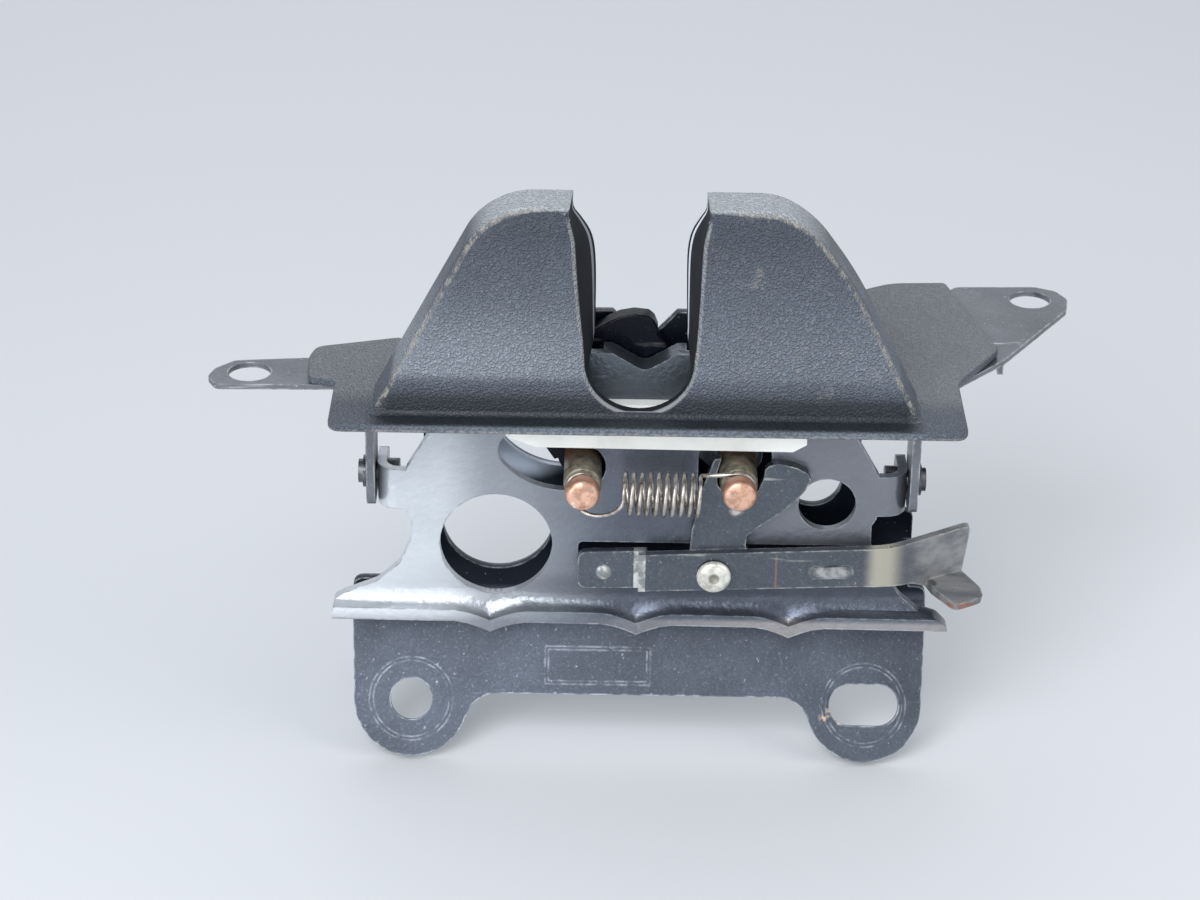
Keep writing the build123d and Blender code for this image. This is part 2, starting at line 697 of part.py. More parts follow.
def make_bracket_right():
    """Return the right bracket with the long tab and its lug."""
    points = [
        (55.6, -1.0), (62.5, -1.0, 2.0), (62.5, 10.0, 3.0), (76.8, 26.0, 2.0),
        (93.0, 52.0, 3.0), (94.0, 57.5, 3.0), (91.7, 62.1, 3.0),
        (87.5, 64.1, 2.0), (69.0, 63.4, 3.0), (60.0, 40.0, 4.0), (55.6, 16.0, 2.0),
    ]
    body = make_bracket(points, (85.5, 57.2, 4.5), 1)
    lug = block(75.6, 76.8, 27.0, 31.0, rim_bottom - 4.0, rim_bottom)
    return body + lug


def make_side_rivet(s):
    """Return the cross rivet through an ear and its bracket leg."""
    def bar(r, a, b):
        """Return one step of the rivet."""
        y, z = cross_rivet
        return bar_x(y, z, r, min(s * a, s * b), max(s * a, s * b))
    rivet = bar(2.0, 52.0, 58.0) + bar(2.8, 50.8, 53.2)
    return rivet + bar(3.4, 57.4, 58.4) + bar(2.5, 58.4, 59.4)


nodes = {
    "front_plate": make_front_plate,
    "back_plate": make_back_plate,
    "buffer_strip": make_buffer_strip,
    "claw": make_claw,
    "claw_stud": lambda: make_stud(claw_stud_at),
    "pawl": make_pawl,
    "pawl_stud": lambda: make_stud(pawl_stud_at),
    "claw_rivet": lambda: make_pivot_rivet(claw_pivot),
    "pawl_rivet": lambda: make_pivot_rivet(pawl_pivot),
    "release_lever": make_release_lever,
    "lever_rivet": make_lever_rivet,
    "tension_spring": make_spring,
    "cover": make_cover,
    "bracket_left": make_bracket_left,
    "bracket_right": make_bracket_right,
    "side_rivet_left": lambda: make_side_rivet(-1),
    "side_rivet_right": lambda: make_side_rivet(1),
}

os.makedirs("parts", exist_ok=True)
for name, make in nodes.items():
    shape = make()
    solids = shape.solids()
    body = solids[0] if len(solids) == 1 else Compound(children=list(solids))
    export_step(body, os.path.join("parts", name + ".step"))
    print(name, "solids", len(solids), "volume", round(shape.volume, 1))
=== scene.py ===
"""Seat latch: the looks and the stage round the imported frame.

Laid out as an add-on and run as a script. The row frame has X to the right,
Y back through the plates and Z up out of the throat. Blender's own lengths
are in metres. The tables of shapes and the places in the finishes are in
millimetres.
"""
import math

import bmesh
import bpy
import numpy as np
from bpy.props import FloatProperty, FloatVectorProperty, IntProperty, PointerProperty
from mathutils import Matrix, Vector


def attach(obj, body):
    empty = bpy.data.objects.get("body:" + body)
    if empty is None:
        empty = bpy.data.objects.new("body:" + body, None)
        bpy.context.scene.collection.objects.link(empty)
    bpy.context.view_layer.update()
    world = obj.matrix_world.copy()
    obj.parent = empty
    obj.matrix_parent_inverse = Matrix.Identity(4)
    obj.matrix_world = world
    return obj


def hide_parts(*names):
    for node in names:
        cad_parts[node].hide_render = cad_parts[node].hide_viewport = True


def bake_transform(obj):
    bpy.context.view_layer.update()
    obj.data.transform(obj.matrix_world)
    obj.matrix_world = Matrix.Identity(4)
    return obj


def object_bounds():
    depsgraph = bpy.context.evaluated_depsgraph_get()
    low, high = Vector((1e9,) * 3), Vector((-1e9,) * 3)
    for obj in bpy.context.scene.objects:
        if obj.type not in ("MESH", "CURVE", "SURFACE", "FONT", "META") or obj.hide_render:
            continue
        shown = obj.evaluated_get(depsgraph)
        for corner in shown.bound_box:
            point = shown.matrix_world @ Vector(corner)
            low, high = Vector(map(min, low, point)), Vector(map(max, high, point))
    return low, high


bl_info = {
    "name": "Seat latch",
    "version": (1, 0, 0),
    "blender": (4, 5, 0),
    "location": "3D View > Sidebar > Latch",
    "description": "Finishes and a stage for a seat latch with a moulded cover",
    "category": "Object",
}

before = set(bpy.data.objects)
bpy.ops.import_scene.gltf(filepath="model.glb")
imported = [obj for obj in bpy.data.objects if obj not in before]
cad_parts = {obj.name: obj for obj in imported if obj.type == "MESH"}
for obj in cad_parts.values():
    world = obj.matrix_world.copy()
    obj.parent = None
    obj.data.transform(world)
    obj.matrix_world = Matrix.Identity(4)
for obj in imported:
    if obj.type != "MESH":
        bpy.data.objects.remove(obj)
CAD_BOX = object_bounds()
MM = 0.001
QUARTER = np.pi / 2
FULL_TURN = 2 * np.pi


def srgb(r, g, b):
    """Turn 0 to 255 screen values into the linear colour that a shader takes."""
    c = np.array([r, g, b]) / 255.0
    c = np.where(c <= 0.04045, c / 12.92, ((c + 0.055) / 1.055) ** 2.4)
    return tuple(float(v) for v in c)


def scaled(tone, factor):
    """Return a colour with its three values times a factor."""
    return tuple(factor * v for v in tone)


def colour(name, text, r, g, b):
    """Return a colour property with its default given on the 0 to 255 scale."""
    return FloatVectorProperty(
        name=name, description=text, subtype="COLOR", size=3, min=0.0, max=1.0,
        default=srgb(r, g, b),
    )


def length(name, text, millimetres):
    """Return a length property with its default given in millimetres."""
    return FloatProperty(
        name=name, description=text, default=millimetres * MM, min=0.0,
        unit="LENGTH", precision=4,
    )


class LatchSizes(bpy.types.PropertyGroup):
    """Sizes of the pieces that are modelled here."""
    hood_wall: length("Hood wall", "Thickness of the hood's moulded wall", 2.0)
    hood_edge: length("Hood edge", "Radius where the hood's front meets its sides", 2.4)
    notch_edge: length("Notch edge", "Radius of the hood's edge round the notch", 1.0)
    hood_fillet: length("Hood fillet", "Hollow radius at the foot of the hood", 1.3)
    rim_edge: length("Rim edge", "Radius of the rim's and wings' edges", 0.8)
    wire: length("Spring wire", "Radius of the spring's wire", 0.44)
    coil: length("Spring coil", "Mean radius of the spring's coil", 4.3)
    collar: length("Stud collar", "Radius of the collar of both studs", 3.9)
    head: length("Stud head", "Radius of the head of both studs", 3.55)
    sheet_edge: length("Sheet edge", "Radius of the sheet metal's edges", 0.3)
    turns: FloatProperty(
        name="Spring turns", description="Turns in the spring's coil", default=9.25, min=1.0,
    )
    around: IntProperty(
        name="Points around", description="Points round each turned piece", default=64, min=12,
    )


class LatchColours(bpy.types.PropertyGroup):
    """Main colours of the finishes."""
    coat: colour("Steel coat", "Dark coat on the two plates", 82, 88, 100)
    coat_light: colour("Steel coat, light", "Paler patches of the same coat", 104, 110, 122)
    # A painted reflection of a bright light on the front plate's left, not a colour of the coat
    painted_reflection: colour("Steel coat, bloom", "Pale bloom on the left of the front plate", 244, 250, 255)
    # Painted shade between the plates, given as a nearly black colour
    inside: colour("Inside", "Nearly black coat between the plates", 22, 28, 40)
    flange: colour("Flange coat", "Dark coat on the back plate", 72, 78, 88)
    mechanism: colour("Mechanism", "Nearly black coat on the claw", 6, 9, 20)
    pawl: colour("Pawl", "Grey coat on the pawl", 92, 97, 104)
    lever: colour("Lever", "Grey coat on the release lever", 84, 90, 98)
    bracket: colour("Bracket", "Coat on the two side brackets", 108, 112, 118)
    cover: colour("Cover", "Grained plastic of the cover", 90, 97, 108)
    # Serves both the cover's worn edges and painted light on its upward wings and edges
    cover_wear_and_light: colour("Cover, worn", "Rubbed edges of the cover", 150, 152, 153)
    # Painted light on the lit upward tops of the horns
    cover_top_light: colour("Cover, top", "Tops of the horns", 176, 182, 187)
    # The notch walls' own black, also used as a painted dark reflection at the hood's foot
    notch: colour("Notch", "Black of the notch's walls and the hood's foot", 16, 19, 26)
    zinc: colour("Yellow zinc", "Plating on the studs' collars", 142, 136, 118)
    copper: colour("Stud head", "Reddish ends of the studs", 222, 178, 156)
    rust: colour("Rust", "Rust in the studs' corners", 104, 74, 52)
    rivet: colour("Rivet", "Bright steel of the rivets", 226, 226, 216)
    wire: colour("Wire", "Drawn wire of the spring", 196, 190, 184)
    nylon: colour("Nylon", "Cream strip behind the cover", 250, 251, 246)
    floor: colour("Floor", "Pale floor under the latch", 214, 217, 221)


# Shades that only one place has, on the 0 to 255 scale. Those named light, shade or highlight are
# painted light and shade, and the worn ones serve both wear and painted highlights on edges
SHADES = {name: srgb(*value) for name, value in {
    "plate worn": (176, 182, 190), "plate left edge": (112, 106, 102),
    "plate upper right light": (142, 143, 149), "plate foot shade": (52, 57, 66),
    "plate lip highlight": (186, 180, 176), "throat": (84, 92, 98),
    "back plate worn": (206, 214, 224), "painted light behind the arc slot": (190, 200, 214),
    "flange slot rust": (190, 170, 148), "claw worn": (128, 128, 124),
    "pawl worn": (210, 212, 212), "lever worn": (196, 196, 190),
    "lever tail": (160, 159, 158), "lever bend highlight": (196, 190, 172),
    "lever pip": (214, 213, 208), "lever oval highlight": (176, 176, 174),
    "lever fork": (210, 206, 200), "lever joggle highlight": (222, 221, 216),
    "lever crease": (146, 118, 104), "lever hollow shade": (66, 68, 74),
    "lever rust": (158, 96, 66), "horn low light": (160, 168, 178), "horn high shade": (46, 51, 60),
    "horn scuffs": (164, 158, 150), "horn edge": (164, 159, 151),
    "notch wall highlight": (214, 220, 228), "stud mottle": (200, 154, 128),
    "stud shine": (240, 226, 210), "stud tip": (150, 104, 84),
    "rivet dimple": (104, 100, 88), "rivet dull": (176, 174, 166),
    "wire dull": (128, 120, 112), "bracket worn": (206, 208, 210),
    "dark rivet": (112, 114, 118), "dark rivet dull": (66, 68, 72),
}.items()}

# Small round places of the finishes, each as a centre and its half sizes: painted shade in the
# throat, painted light behind the arc slot, rust at the flange's slot, and painted shade in the
# lever's hollow
THROAT_SHADE = ((-1.0, 0.0, -1.0), (15.0, 12.0, 8.5))
LIT_BEHIND_ARC_SLOT = ((-24.0, 12.0, -22.0), (13.0, 6.0, 10.0))
FLANGE_SLOT_END = ((42.0, 0.0, -82.0), (3.4, 4.0, 2.4))
LEVER_HOLLOW_SHADE = ((61.6, -0.4, -47.6), (1.6, 1.6, 2.0))
# The lever's light spots; the oval's is a painted highlight on its rim
LEVER_SPOTS = (
    ("lever pip", (-7.7, -2.8, -46.1), (2.0, 1.6, 2.0)),
    ("lever oval highlight", (39.8, -4.5, -44.3), (4.8, 0.55, 1.7)),
    ("lever fork", (19.6, -3.4, -31.2), (2.2, 2.0, 1.6)),
)
DIMPLE = (1.5, 3.0, 1.5)

# The hood's front stands at this Y at the rim's foot, and leans back upwards
HOOD_FACE_Y = -8.95
HOOD_LEAN = math.tan(math.radians(4.0))
HOOD_BACK_Y = 4.8
RIM_LOW = -8.7
RIM_HIGH = -6.6

# The middle of the notch for the hood's shape, and half way between its walls
NOTCH_MIDDLE = -2.0
WALLS_MIDDLE = -2.4


def sizes():
    """Return the size settings of the scene."""
    return bpy.context.scene.latch_sizes


def colours():
    """Return the colour settings of the scene."""
    return bpy.context.scene.latch_colours


def configure(item, **settings):
    """Set several properties of an item and return it."""
    for key, value in settings.items():
        setattr(item, key, value)
    return item


def add_object(name, data):
    """Link a new object to the scene and return it."""
    item = bpy.data.objects.new(name, data)
    bpy.context.scene.collection.objects.link(item)
    return item


# Shapes

def eased(value, low, high):
    """Return a smooth rise from 0 at one value to 1 at another.

    It is three times the square of the share of the way, less twice its cube.
    """
    t = np.clip((value - low) / (high - low), 0, 1)
    return t * t * (3 - 2 * t)


def corners(points, steps=6):
    """Round the corners of an outline.

    Each corner is given as (x, z, reach). It becomes a quadratic curve from
    the point a reach before the corner to the point a reach after it, with
    the corner itself as the middle control point.
    """
    p = np.array([q[:2] for q in points], float)
    reach = np.array([q[2] for q in points], float)
    before = np.roll(p, 1, 0) - p
    after = np.roll(p, -1, 0) - p
    long_before = np.linalg.norm(before, axis=1)
    long_after = np.linalg.norm(after, axis=1)
    cut = np.minimum(reach, 0.48 * np.minimum(long_before, long_after))[:, None]
    a = p + before / long_before[:, None] * cut
    b = p + after / long_after[:, None] * cut
    t = np.linspace(0, 1, steps + 1)[None, :, None]
    curve = (1 - t) ** 2 * a[:, None] + 2 * t * (1 - t) * p[:, None] + t ** 2 * b[:, None]
    curve = curve.reshape(-1, 2)
    step = np.linalg.norm(curve - np.roll(curve, 1, 0), axis=1)
    return curve[step > 1e-4]


def inward(path, closed):
    """Return the inward mitre of each point of an outline.

    It is the sum of the two unit normals beside the point over one plus
    their dot product, turned to the side that holds the outline's area.
    """
    ahead = np.roll(path, -1, 0) - path
    size = np.linalg.norm(ahead, axis=1)
    side = np.stack([-ahead[:, 1], ahead[:, 0]], 1) / size[:, None]
    back = np.roll(side, 1, 0)
    if not closed:
        side[-1] = side[-2]
        back[0] = side[0]
    mitre = (side + back) / (1 + (side * back).sum(1))[:, None]
    x, z = path[:, 0], path[:, 1]
    area = (x * np.roll(z, -1) - np.roll(x, -1) * z).sum()
    return mitre if area > 0 else -mitre


def grid_faces(rows, cols, close_rows, close_cols):
    """Return the four corners of each cell of a grid of points."""
    i = np.arange(rows if close_rows else rows - 1)
    j = np.arange(cols if close_cols else cols - 1)
    i, j = [g.ravel() for g in np.meshgrid(i, j, indexing="ij")]
    k, m = (i + 1) % rows, (j + 1) % cols
    return np.stack([i * cols + j, k * cols + j, k * cols + m, i * cols + m], 1)


def surface(name, points, close_rows=False, close_cols=False, caps=()):
    """Make an object from a grid of points, in millimetres.

    caps lists runs of point numbers, each of which becomes one flat face.
    """
    rows, cols = points.shape[:2]
    faces = [tuple(f) for f in grid_faces(rows, cols, close_rows, close_cols).tolist()]
    faces += [tuple(int(i) for i in cap) for cap in caps]
    mesh = bpy.data.meshes.new(name)
    mesh.from_pydata((points.reshape(-1, 3) * MM).tolist(), [], faces)
    work = bmesh.new()
    work.from_mesh(mesh)
    bmesh.ops.remove_doubles(work, verts=work.verts, dist=2e-6)
    bmesh.ops.dissolve_degenerate(work, edges=work.edges, dist=1e-7)
    bmesh.ops.recalc_face_normals(work, faces=work.faces)
    work.to_mesh(mesh)
    work.free()
    smooth_faces(mesh)
    return add_object(name, mesh)


def smooth_faces(mesh):
    """Shade all faces of a mesh smoothly."""
    mesh.polygons.foreach_set("use_smooth", [True] * len(mesh.polygons))


def even_normals(piece, weight):
    """Keep the shading of large faces flat, by a modifier."""
    configure(piece.modifiers.new("normals", "WEIGHTED_NORMAL"), weight=weight)


def turned(name, profile, x, z, around):
    """Turn a profile of (radius, y) about the line along Y through (x, z).

    A point is x plus the radius times the cosine of the turn, y, and z plus
    the radius times the sine of the turn.
    """
    profile = np.array(profile, float)
    turn = np.linspace(0, FULL_TURN, around, endpoint=False)[:, None]
    r, y = profile[:, 0][None, :], profile[:, 1][None, :]
    points = np.stack([
        x + r * np.cos(turn), y + 0 * turn, z + r * np.sin(turn),
    ], 2)
    piece = surface(name, points, close_rows=True)
    even_normals(piece, 60)
    return piece


def flowing(points, steps):
    """Pass a smooth curve through points.

    Between two points it is the cubic whose ends point along the line from
    the point before to the point after.
    """
    p = np.vstack([2 * points[0] - points[1], points, 2 * points[-1] - points[-2]])
    a, b, c, d = [q[:, None] for q in (p[:-3], p[1:-2], p[2:-1], p[3:])]
    t = np.linspace(0, 1, steps, endpoint=False)[None, :, None]
    curve = 0.5 * (
        2 * b + (c - a) * t + (2 * a - 5 * b + 4 * c - d) * t ** 2
        + (3 * b - a - 3 * c + d) * t ** 3
    )
    return np.vstack([curve.reshape(-1, points.shape[1]), points[-1:]])


def capped(name, points):
    """Make a closed piece from rings of points, with a flat face at each end."""
    rows, cols = points.shape[:2]
    ring = np.arange(cols)
    return surface(name, points, close_cols=True, caps=(ring, (rows - 1) * cols + ring))


def tube(name, path, radius, sides):
    """Carry a circle along a path and close both ends.

    A ring's point is the path's point plus the radius times the cosine of
    the turn along one cross direction and its sine along the other. The
    cross direction is passed from ring to ring with the part along the
    path taken out of it, so that the tube doesn't twist.
    """
    ahead = np.gradient(path, axis=0)
    ahead /= np.linalg.norm(ahead, axis=1)[:, None]
    across = np.zeros_like(path)
    last = np.array([0.0, 1.0, 0.0])
    for i, t in enumerate(ahead):
        last = last - t * last.dot(t)
        last = last / np.linalg.norm(last)
        across[i] = last
    other = np.cross(ahead, across)
    turn = np.linspace(0, FULL_TURN, sides, endpoint=False)[None, :, None]
    points = path[:, None] + radius * (
        np.cos(turn) * across[:, None] + np.sin(turn) * other[:, None]
    )
    return capped(name, points)


def pillow_plate(name, outline, z0, z1, edge, steps=4):
    """Make a flat plate with round edges from an (x, y) outline.

    The outline moves inwards by the edge radius times one minus the sine of
    an angle, and up from the bottom by the radius times one minus its
    cosine, and the same in reverse at the top.
    """
    mitre = inward(outline, True)
    angle = np.linspace(0, QUARTER, steps + 1)
    off = edge * (1 - np.sin(angle))
    up = edge * (1 - np.cos(angle))
    off = np.concatenate([off, off[::-1]])
    z = np.concatenate([z0 + up, z1 - up[::-1]])
    flat = outline[:, None] + mitre[:, None] * off[None, :, None]
    height = np.broadcast_to(z[None, :, None], flat.shape[:2] + (1,))
    points = np.concatenate([flat, height], 2)
    rows, cols = points.shape[:2]
    low = np.arange(rows) * cols
    high = low + cols - 1
    return surface(name, points, close_rows=True, caps=(low, high))


# Finishes

class Finish:
    """A procedural material. Each method adds nodes and returns an output."""

    def __init__(self, name, base):
        self.material = bpy.data.materials.new(name)
        self.material.use_nodes = True
        self.nodes = self.material.node_tree.nodes
        self.links = self.material.node_tree.links
        self.shader = self.nodes["Principled BSDF"]
        self.place = self.nodes.new("ShaderNodeTexCoord").outputs["Object"]
        self.tone = base

    def put(self, value, socket):
        """Link an output to a socket, or set it to a plain value or a named shade."""
        if isinstance(value, bpy.types.NodeSocket):
            self.links.new(value, socket)
        else:
            if isinstance(value, str):
                value = SHADES[value]
            if socket.type == "RGBA" and len(value) == 3:
                value = (*value, 1.0)
            socket.default_value = value

    def add(self, kind, inputs, **settings):
        """Add a node with its settings, and link or set its inputs."""
        node = configure(self.nodes.new("ShaderNode" + kind), **settings)
        for key, value in inputs.items():
            self.put(value, node.inputs[key])
        return node

    def parts(self, vector):
        """Return the X, Y and Z of a vector."""
        return tuple(self.add("SeparateXYZ", {0: vector}).outputs)

    def ground(self):
        """Return the normal of the face itself."""
        return self.nodes.new("ShaderNodeNewGeometry").outputs["Normal"]

    def moved(self, stretch=(1, 1, 1), centre=(0, 0, 0)):
        """Return the object's own coordinates, stretched about a centre."""
        scale = [1.0 / s for s in stretch]
        inputs = {"Vector": self.place, "Location": centre, "Scale": scale}
        return self.add("Mapping", inputs, vector_type="TEXTURE").outputs["Vector"]

    def noise(self, scale, detail=3.0, roughness=0.55, stretch=(1, 1, 1)):
        """Return cloudy noise with this many cells in a metre."""
        return self.add("TexNoise", {
            "Vector": self.moved(stretch), "Scale": scale, "Detail": detail,
            "Roughness": roughness,
        }).outputs["Fac"]

    def between(self, value, low, high, out_low=0.0, out_high=1.0):
        """Spread a value smoothly from one range to another."""
        return self.add("MapRange", {
            "Value": value, "From Min": low, "From Max": high,
            "To Min": out_low, "To Max": out_high,
        }, interpolation_type="SMOOTHSTEP").outputs["Result"]

    def ramp(self, value, low, high, out_low=0.0, out_high=1.0):
        """Spread a length from a range in millimetres to another range."""
        return self.between(value, low * MM, high * MM, out_low, out_high)

    def cloud(self, scale, detail, *ranges):
        """Return cloudy noise, spread smoothly from one range to another."""
        return self.between(self.noise(scale, detail), *ranges)

    def drift(self, scale, detail, *limits):
        """Return a value that drifts between two limits in soft clouds."""
        return self.cloud(scale, detail, 0.3, 0.7, *limits)

    def math(self, kind, a, b=0.0):
        """Return the result of one sum on two values."""
        return self.add("Math", {0: a, 1: b}, operation=kind).outputs[0]

    def times(self, product, *others):
        """Return the product of two or more values."""
        for other in others:
            product = self.math("MULTIPLY", product, other)
        return product

    def off(self, value, centre):
        """Return the distance of a length from one given in millimetres."""
        return self.math("ABSOLUTE", self.math("SUBTRACT", value, centre * MM))

    def stripe(self, value, centre, outer, inner):
        """Return 1 in a stripe that fades from an inner to an outer half width."""
        return self.ramp(self.off(value, centre), outer, inner)

    def mix(self, amount, a, b):
        """Return colour a turning into colour b by this amount."""
        return self.add("Mix", {0: amount, 6: a, 7: b}, data_type="RGBA").outputs[2]

    def lay(self, tone, *amounts):
        """Turn the finish's tone into another by the product of the amounts."""
        self.tone = self.mix(self.times(*amounts), self.tone, tone)

    def edges(self, radius, low, high):
        """Return 1 along sharp edges and 0 on flat ground.

        It is one minus the dot product of the face's own normal and the
        normal that a rounded edge of this radius, in millimetres, would have.
        """
        bent = self.add("Bevel", {"Radius": radius * MM}, samples=4).outputs[0]
        dot = self.add("VectorMath", {0: bent, 1: self.ground()}, operation="DOT_PRODUCT")
        gap = self.math("SUBTRACT", 1.0, dot.outputs["Value"])
        return self.between(gap, low, high)

    def spot(self, centre, size):
        """Return 1 at a centre falling to 0 at these half sizes, in millimetres."""
        place = self.moved([1000.0 / s for s in size], scaled(centre, MM))
        far = self.add("VectorMath", {0: place}, operation="LENGTH").outputs["Value"]
        return self.between(far, 1.0, 0.6)

    def bumps(self, height, strength, distance, below=None):
        """Return a normal bent by a height pattern, on top of another one."""
        inputs = {"Strength": strength, "Distance": distance * MM, "Height": height}
        if below is not None:
            inputs["Normal"] = below
        return self.add("Bump", inputs).outputs["Normal"]

    def finish(self, metallic, roughness, normal=None, gloss=0.5):
        """Connect the shader. gloss is a plain value on its own socket."""
        values = {"Base Color": self.tone, "Metallic": metallic, "Roughness": roughness}
        if normal is not None:
            values["Normal"] = normal
        for key, value in values.items():
            self.put(value, self.shader.inputs[key])
        self.shader.inputs["Specular IOR Level"].default_value = gloss
        return self.material


def coated_steel(name, base, light, worn, metallic=0.75, rough=(0.3, 0.46), marks=0.5,
                 extra=None, rub_and_light=(0.04, 0.3, 0.75), speckle=0.2, gloss=0.5,
                 left_edge=None, peel=0.14):
    """Make a dark coated steel.

    Large clouds turn the base into its lighter shade. A fine grain goes
    darker and lighter about it (speckle), and extra lays patches on top,
    some of them painted light and shade. Specks and a few scratches lighten
    it further (marks). The edges turn to a third colour, partly as wear and
    partly as a painted edge highlight (rub_and_light: the bend's two limits
    and the most that shows), or to left_edge on the left. peel is how
    uneven the skin is.
    """
    f = Finish(name, base)
    f.lay(light, f.between(f.noise(34, 5, 0.62), 0.35, 0.7))
    grain = f.noise(1900, 2, 0.7)
    f.lay(scaled(base, 0.4), f.between(grain, 0.5, 0.34, 0.0, speckle))
    f.lay(worn, f.between(grain, 0.56, 0.74, 0.0, 0.6 * speckle))
    if extra is not None:
        extra(f)

    f.lay(worn, f.between(f.noise(1100, 2, 0.6), 0.68, 0.74, 0.0, 0.6 * marks))
    patches = f.cloud(70, 3, 0.48, 0.6)
    scratches = f.between(f.noise(260, 3, 0.7, (0.08, 1, 1)), 0.66, 0.71, 0.0, marks)
    f.lay(worn, patches, scratches)

    # The edges: partly real wear, partly a painted highlight along them
    bend_low, bend_high, most = rub_and_light
    edge_wear_and_light = f.edges(0.65, bend_low, bend_high)
    broken = f.cloud(420, 3, 0.4, 0.62, 0.1, most)
    if left_edge is not None:
        worn = f.mix(f.ramp(f.parts(f.place)[0], -10.0, -34.0), worn, left_edge)
    f.lay(worn, edge_wear_and_light, broken)

    roughness = f.drift(90, 4, *rough)
    pits = f.bumps(f.noise(1300, 3, 0.6), 0.35, 0.09)
    skin = f.bumps(f.noise(640, 2, 0.5), peel, 0.25, pits)
    normal = f.bumps(f.noise(60, 2), 0.12, 0.5, skin)
    return f.finish(metallic, roughness, normal, gloss)


def plate_patches(f):
    """Lay the front plate's patches: painted light on the upper right, painted shade on the foot,
    a pale painted reflection on the left, a painted highlight on the lip and painted shade in the
    throat.
    """
    x, y, z = f.parts(f.place)
    right = f.ramp(x, 10.0, 32.0, 0.25, 1.3)
    # Painted light on the plate's upper right, and painted shade on its foot under the lever
    f.lay("plate upper right light", f.ramp(z, -52.0, -46.0, 0.0, 0.45), right)
    f.lay("plate foot shade", f.ramp(z, -46.5, -50.0), f.ramp(z, -56.5, -54.5), 0.5)

    # A painted reflection: a pale patch of light on the plate's left
    near_left_edge = f.ramp(x, -31.0, -43.0, 0.0, 0.42)
    left_half = f.ramp(x, -3.0, -36.0, 0.0, 0.30)
    cloud = f.cloud(30, 3, 0.25, 0.6, 0.82, 1.0)
    height = f.times(f.ramp(z, -12.0, -36.0, 0.66, 1.0), f.ramp(z, -58.0, -55.5, 0.55, 1.0))
    f.lay(colours().painted_reflection, f.math("ADD", near_left_edge, left_half), cloud, height)

    # A painted highlight along the lip's bend, and painted shade in the throat under the cover
    f.lay("plate lip highlight", f.ramp(z, -56.2, -57.4), f.ramp(x, -20.0, 24.0, 0.0, 0.5))
    f.lay("throat", f.spot(*THROAT_SHADE), 0.8)


def back_plate_patches(f):
    """Paint shade on the back plate where it is shut in, a pool of painted light behind the arc
    slot, and rust it.
    """
    x, y, z = f.parts(f.place)
    front = f.ramp(y, 12.6, 11.8)
    # Painted shade on the back plate's front between the two plates
    f.lay(colours().inside, f.ramp(z, -58.5, -56.5), front)
    # A pool of painted light on the shaded plate behind the arc slot
    f.lay("painted light behind the arc slot", f.spot(*LIT_BEHIND_ARC_SLOT), front, 0.85)
    f.lay("flange slot rust", f.spot(*FLANGE_SLOT_END), f.cloud(500, 4, 0.45, 0.6))


def lever_patches(f):
    """Lay the lever's worn places, painted highlights and painted shade on its coat, from its
    tail to its rusty tab.
    """
    x, y, z = f.parts(f.place)
    streaks = f.between(f.noise(240, 4, 0.6, (0.12, 1, 1)), 0.35, 0.65, 0.35, 1.0)
    f.lay("lever tail", f.ramp(x, 53.0, 60.0, 0.0, 0.9), streaks)
    # A painted highlight along the lever's bend
    f.lay("lever bend highlight", f.ramp(x, 46.2, 49.5), f.ramp(x, 56.0, 51.5), 0.85)

    broken = f.cloud(420, 4, 0.38, 0.58, 0.3, 1.0)
    # Light spots, one of them a painted highlight on the oval's rim
    for shade, centre, size in LEVER_SPOTS:
        f.lay(shade, f.spot(centre, size), broken)

    on_strip = f.ramp(z, -40.0, -41.2)
    # A painted highlight on the joggle's step where it catches the light, broken in clouds, and a
    # crease
    f.lay("lever joggle highlight", f.stripe(x, -0.25, 1.35, 1.1), on_strip, broken)
    f.lay("lever crease", f.stripe(x, 28.3, 0.3, 0.12), on_strip, 0.7)

    # Painted shade in the hollow by the tab, then rust
    f.lay("lever hollow shade", f.spot(*LEVER_HOLLOW_SHADE), 0.8)
    f.lay("lever rust", f.ramp(z, -50.0, -51.4), f.cloud(600, 4, 0.44, 0.58), 0.8)


def leather(f):
    """Return the grain's hills: warped round cells of about 0.6 mm, 1 on top."""
    wander = f.add("TexNoise", {"Vector": f.moved(), "Scale": 800})
    warp = f.add("VectorMath", {
        0: wander.outputs["Color"], 1: (0.6 * MM,) * 3, 2: f.moved((1.0, 1.0, 1.15)),
    }, operation="MULTIPLY_ADD")
    cells = f.add("TexVoronoi", {
        "Vector": warp.outputs[0], "Scale": 1800, "Smoothness": 0.45,
    }, feature="SMOOTH_F1")
    return f.between(cells.outputs["Distance"], 0.72, 0.1)


def notch_masks(f, place, up):
    """Return where the notch's walls are, and the worn line round its front.

    Both lie beside the middle and are told apart by how deep they are
    behind the hood's leaning front. up is the Z of the face's normal, which
    keeps the floor behind the notch out of the walls.
    """
    x, y, z = place
    away = f.off(x, WALLS_MIDDLE)
    lean = f.times(f.math("ADD", z, -RIM_LOW * MM), HOOD_LEAN)
    deep = f.math("SUBTRACT", f.math("ADD", y, -HOOD_FACE_Y * MM), lean)
    close = f.ramp(away, 16.9, 16.4)
    steep = f.math("MAXIMUM", f.between(up, 0.85, 0.65), f.ramp(z, 22.0, 18.0))
    wall = f.times(f.ramp(deep, 0.55, 0.95), close, steep)
    beside = f.times(f.ramp(away, 18.6, 17.6), f.ramp(z, 36.0, 34.0))
    worn_line = f.times(f.ramp(deep, 0.04, 0.2), f.ramp(deep, 0.8, 0.5), beside)
    return wall, worn_line


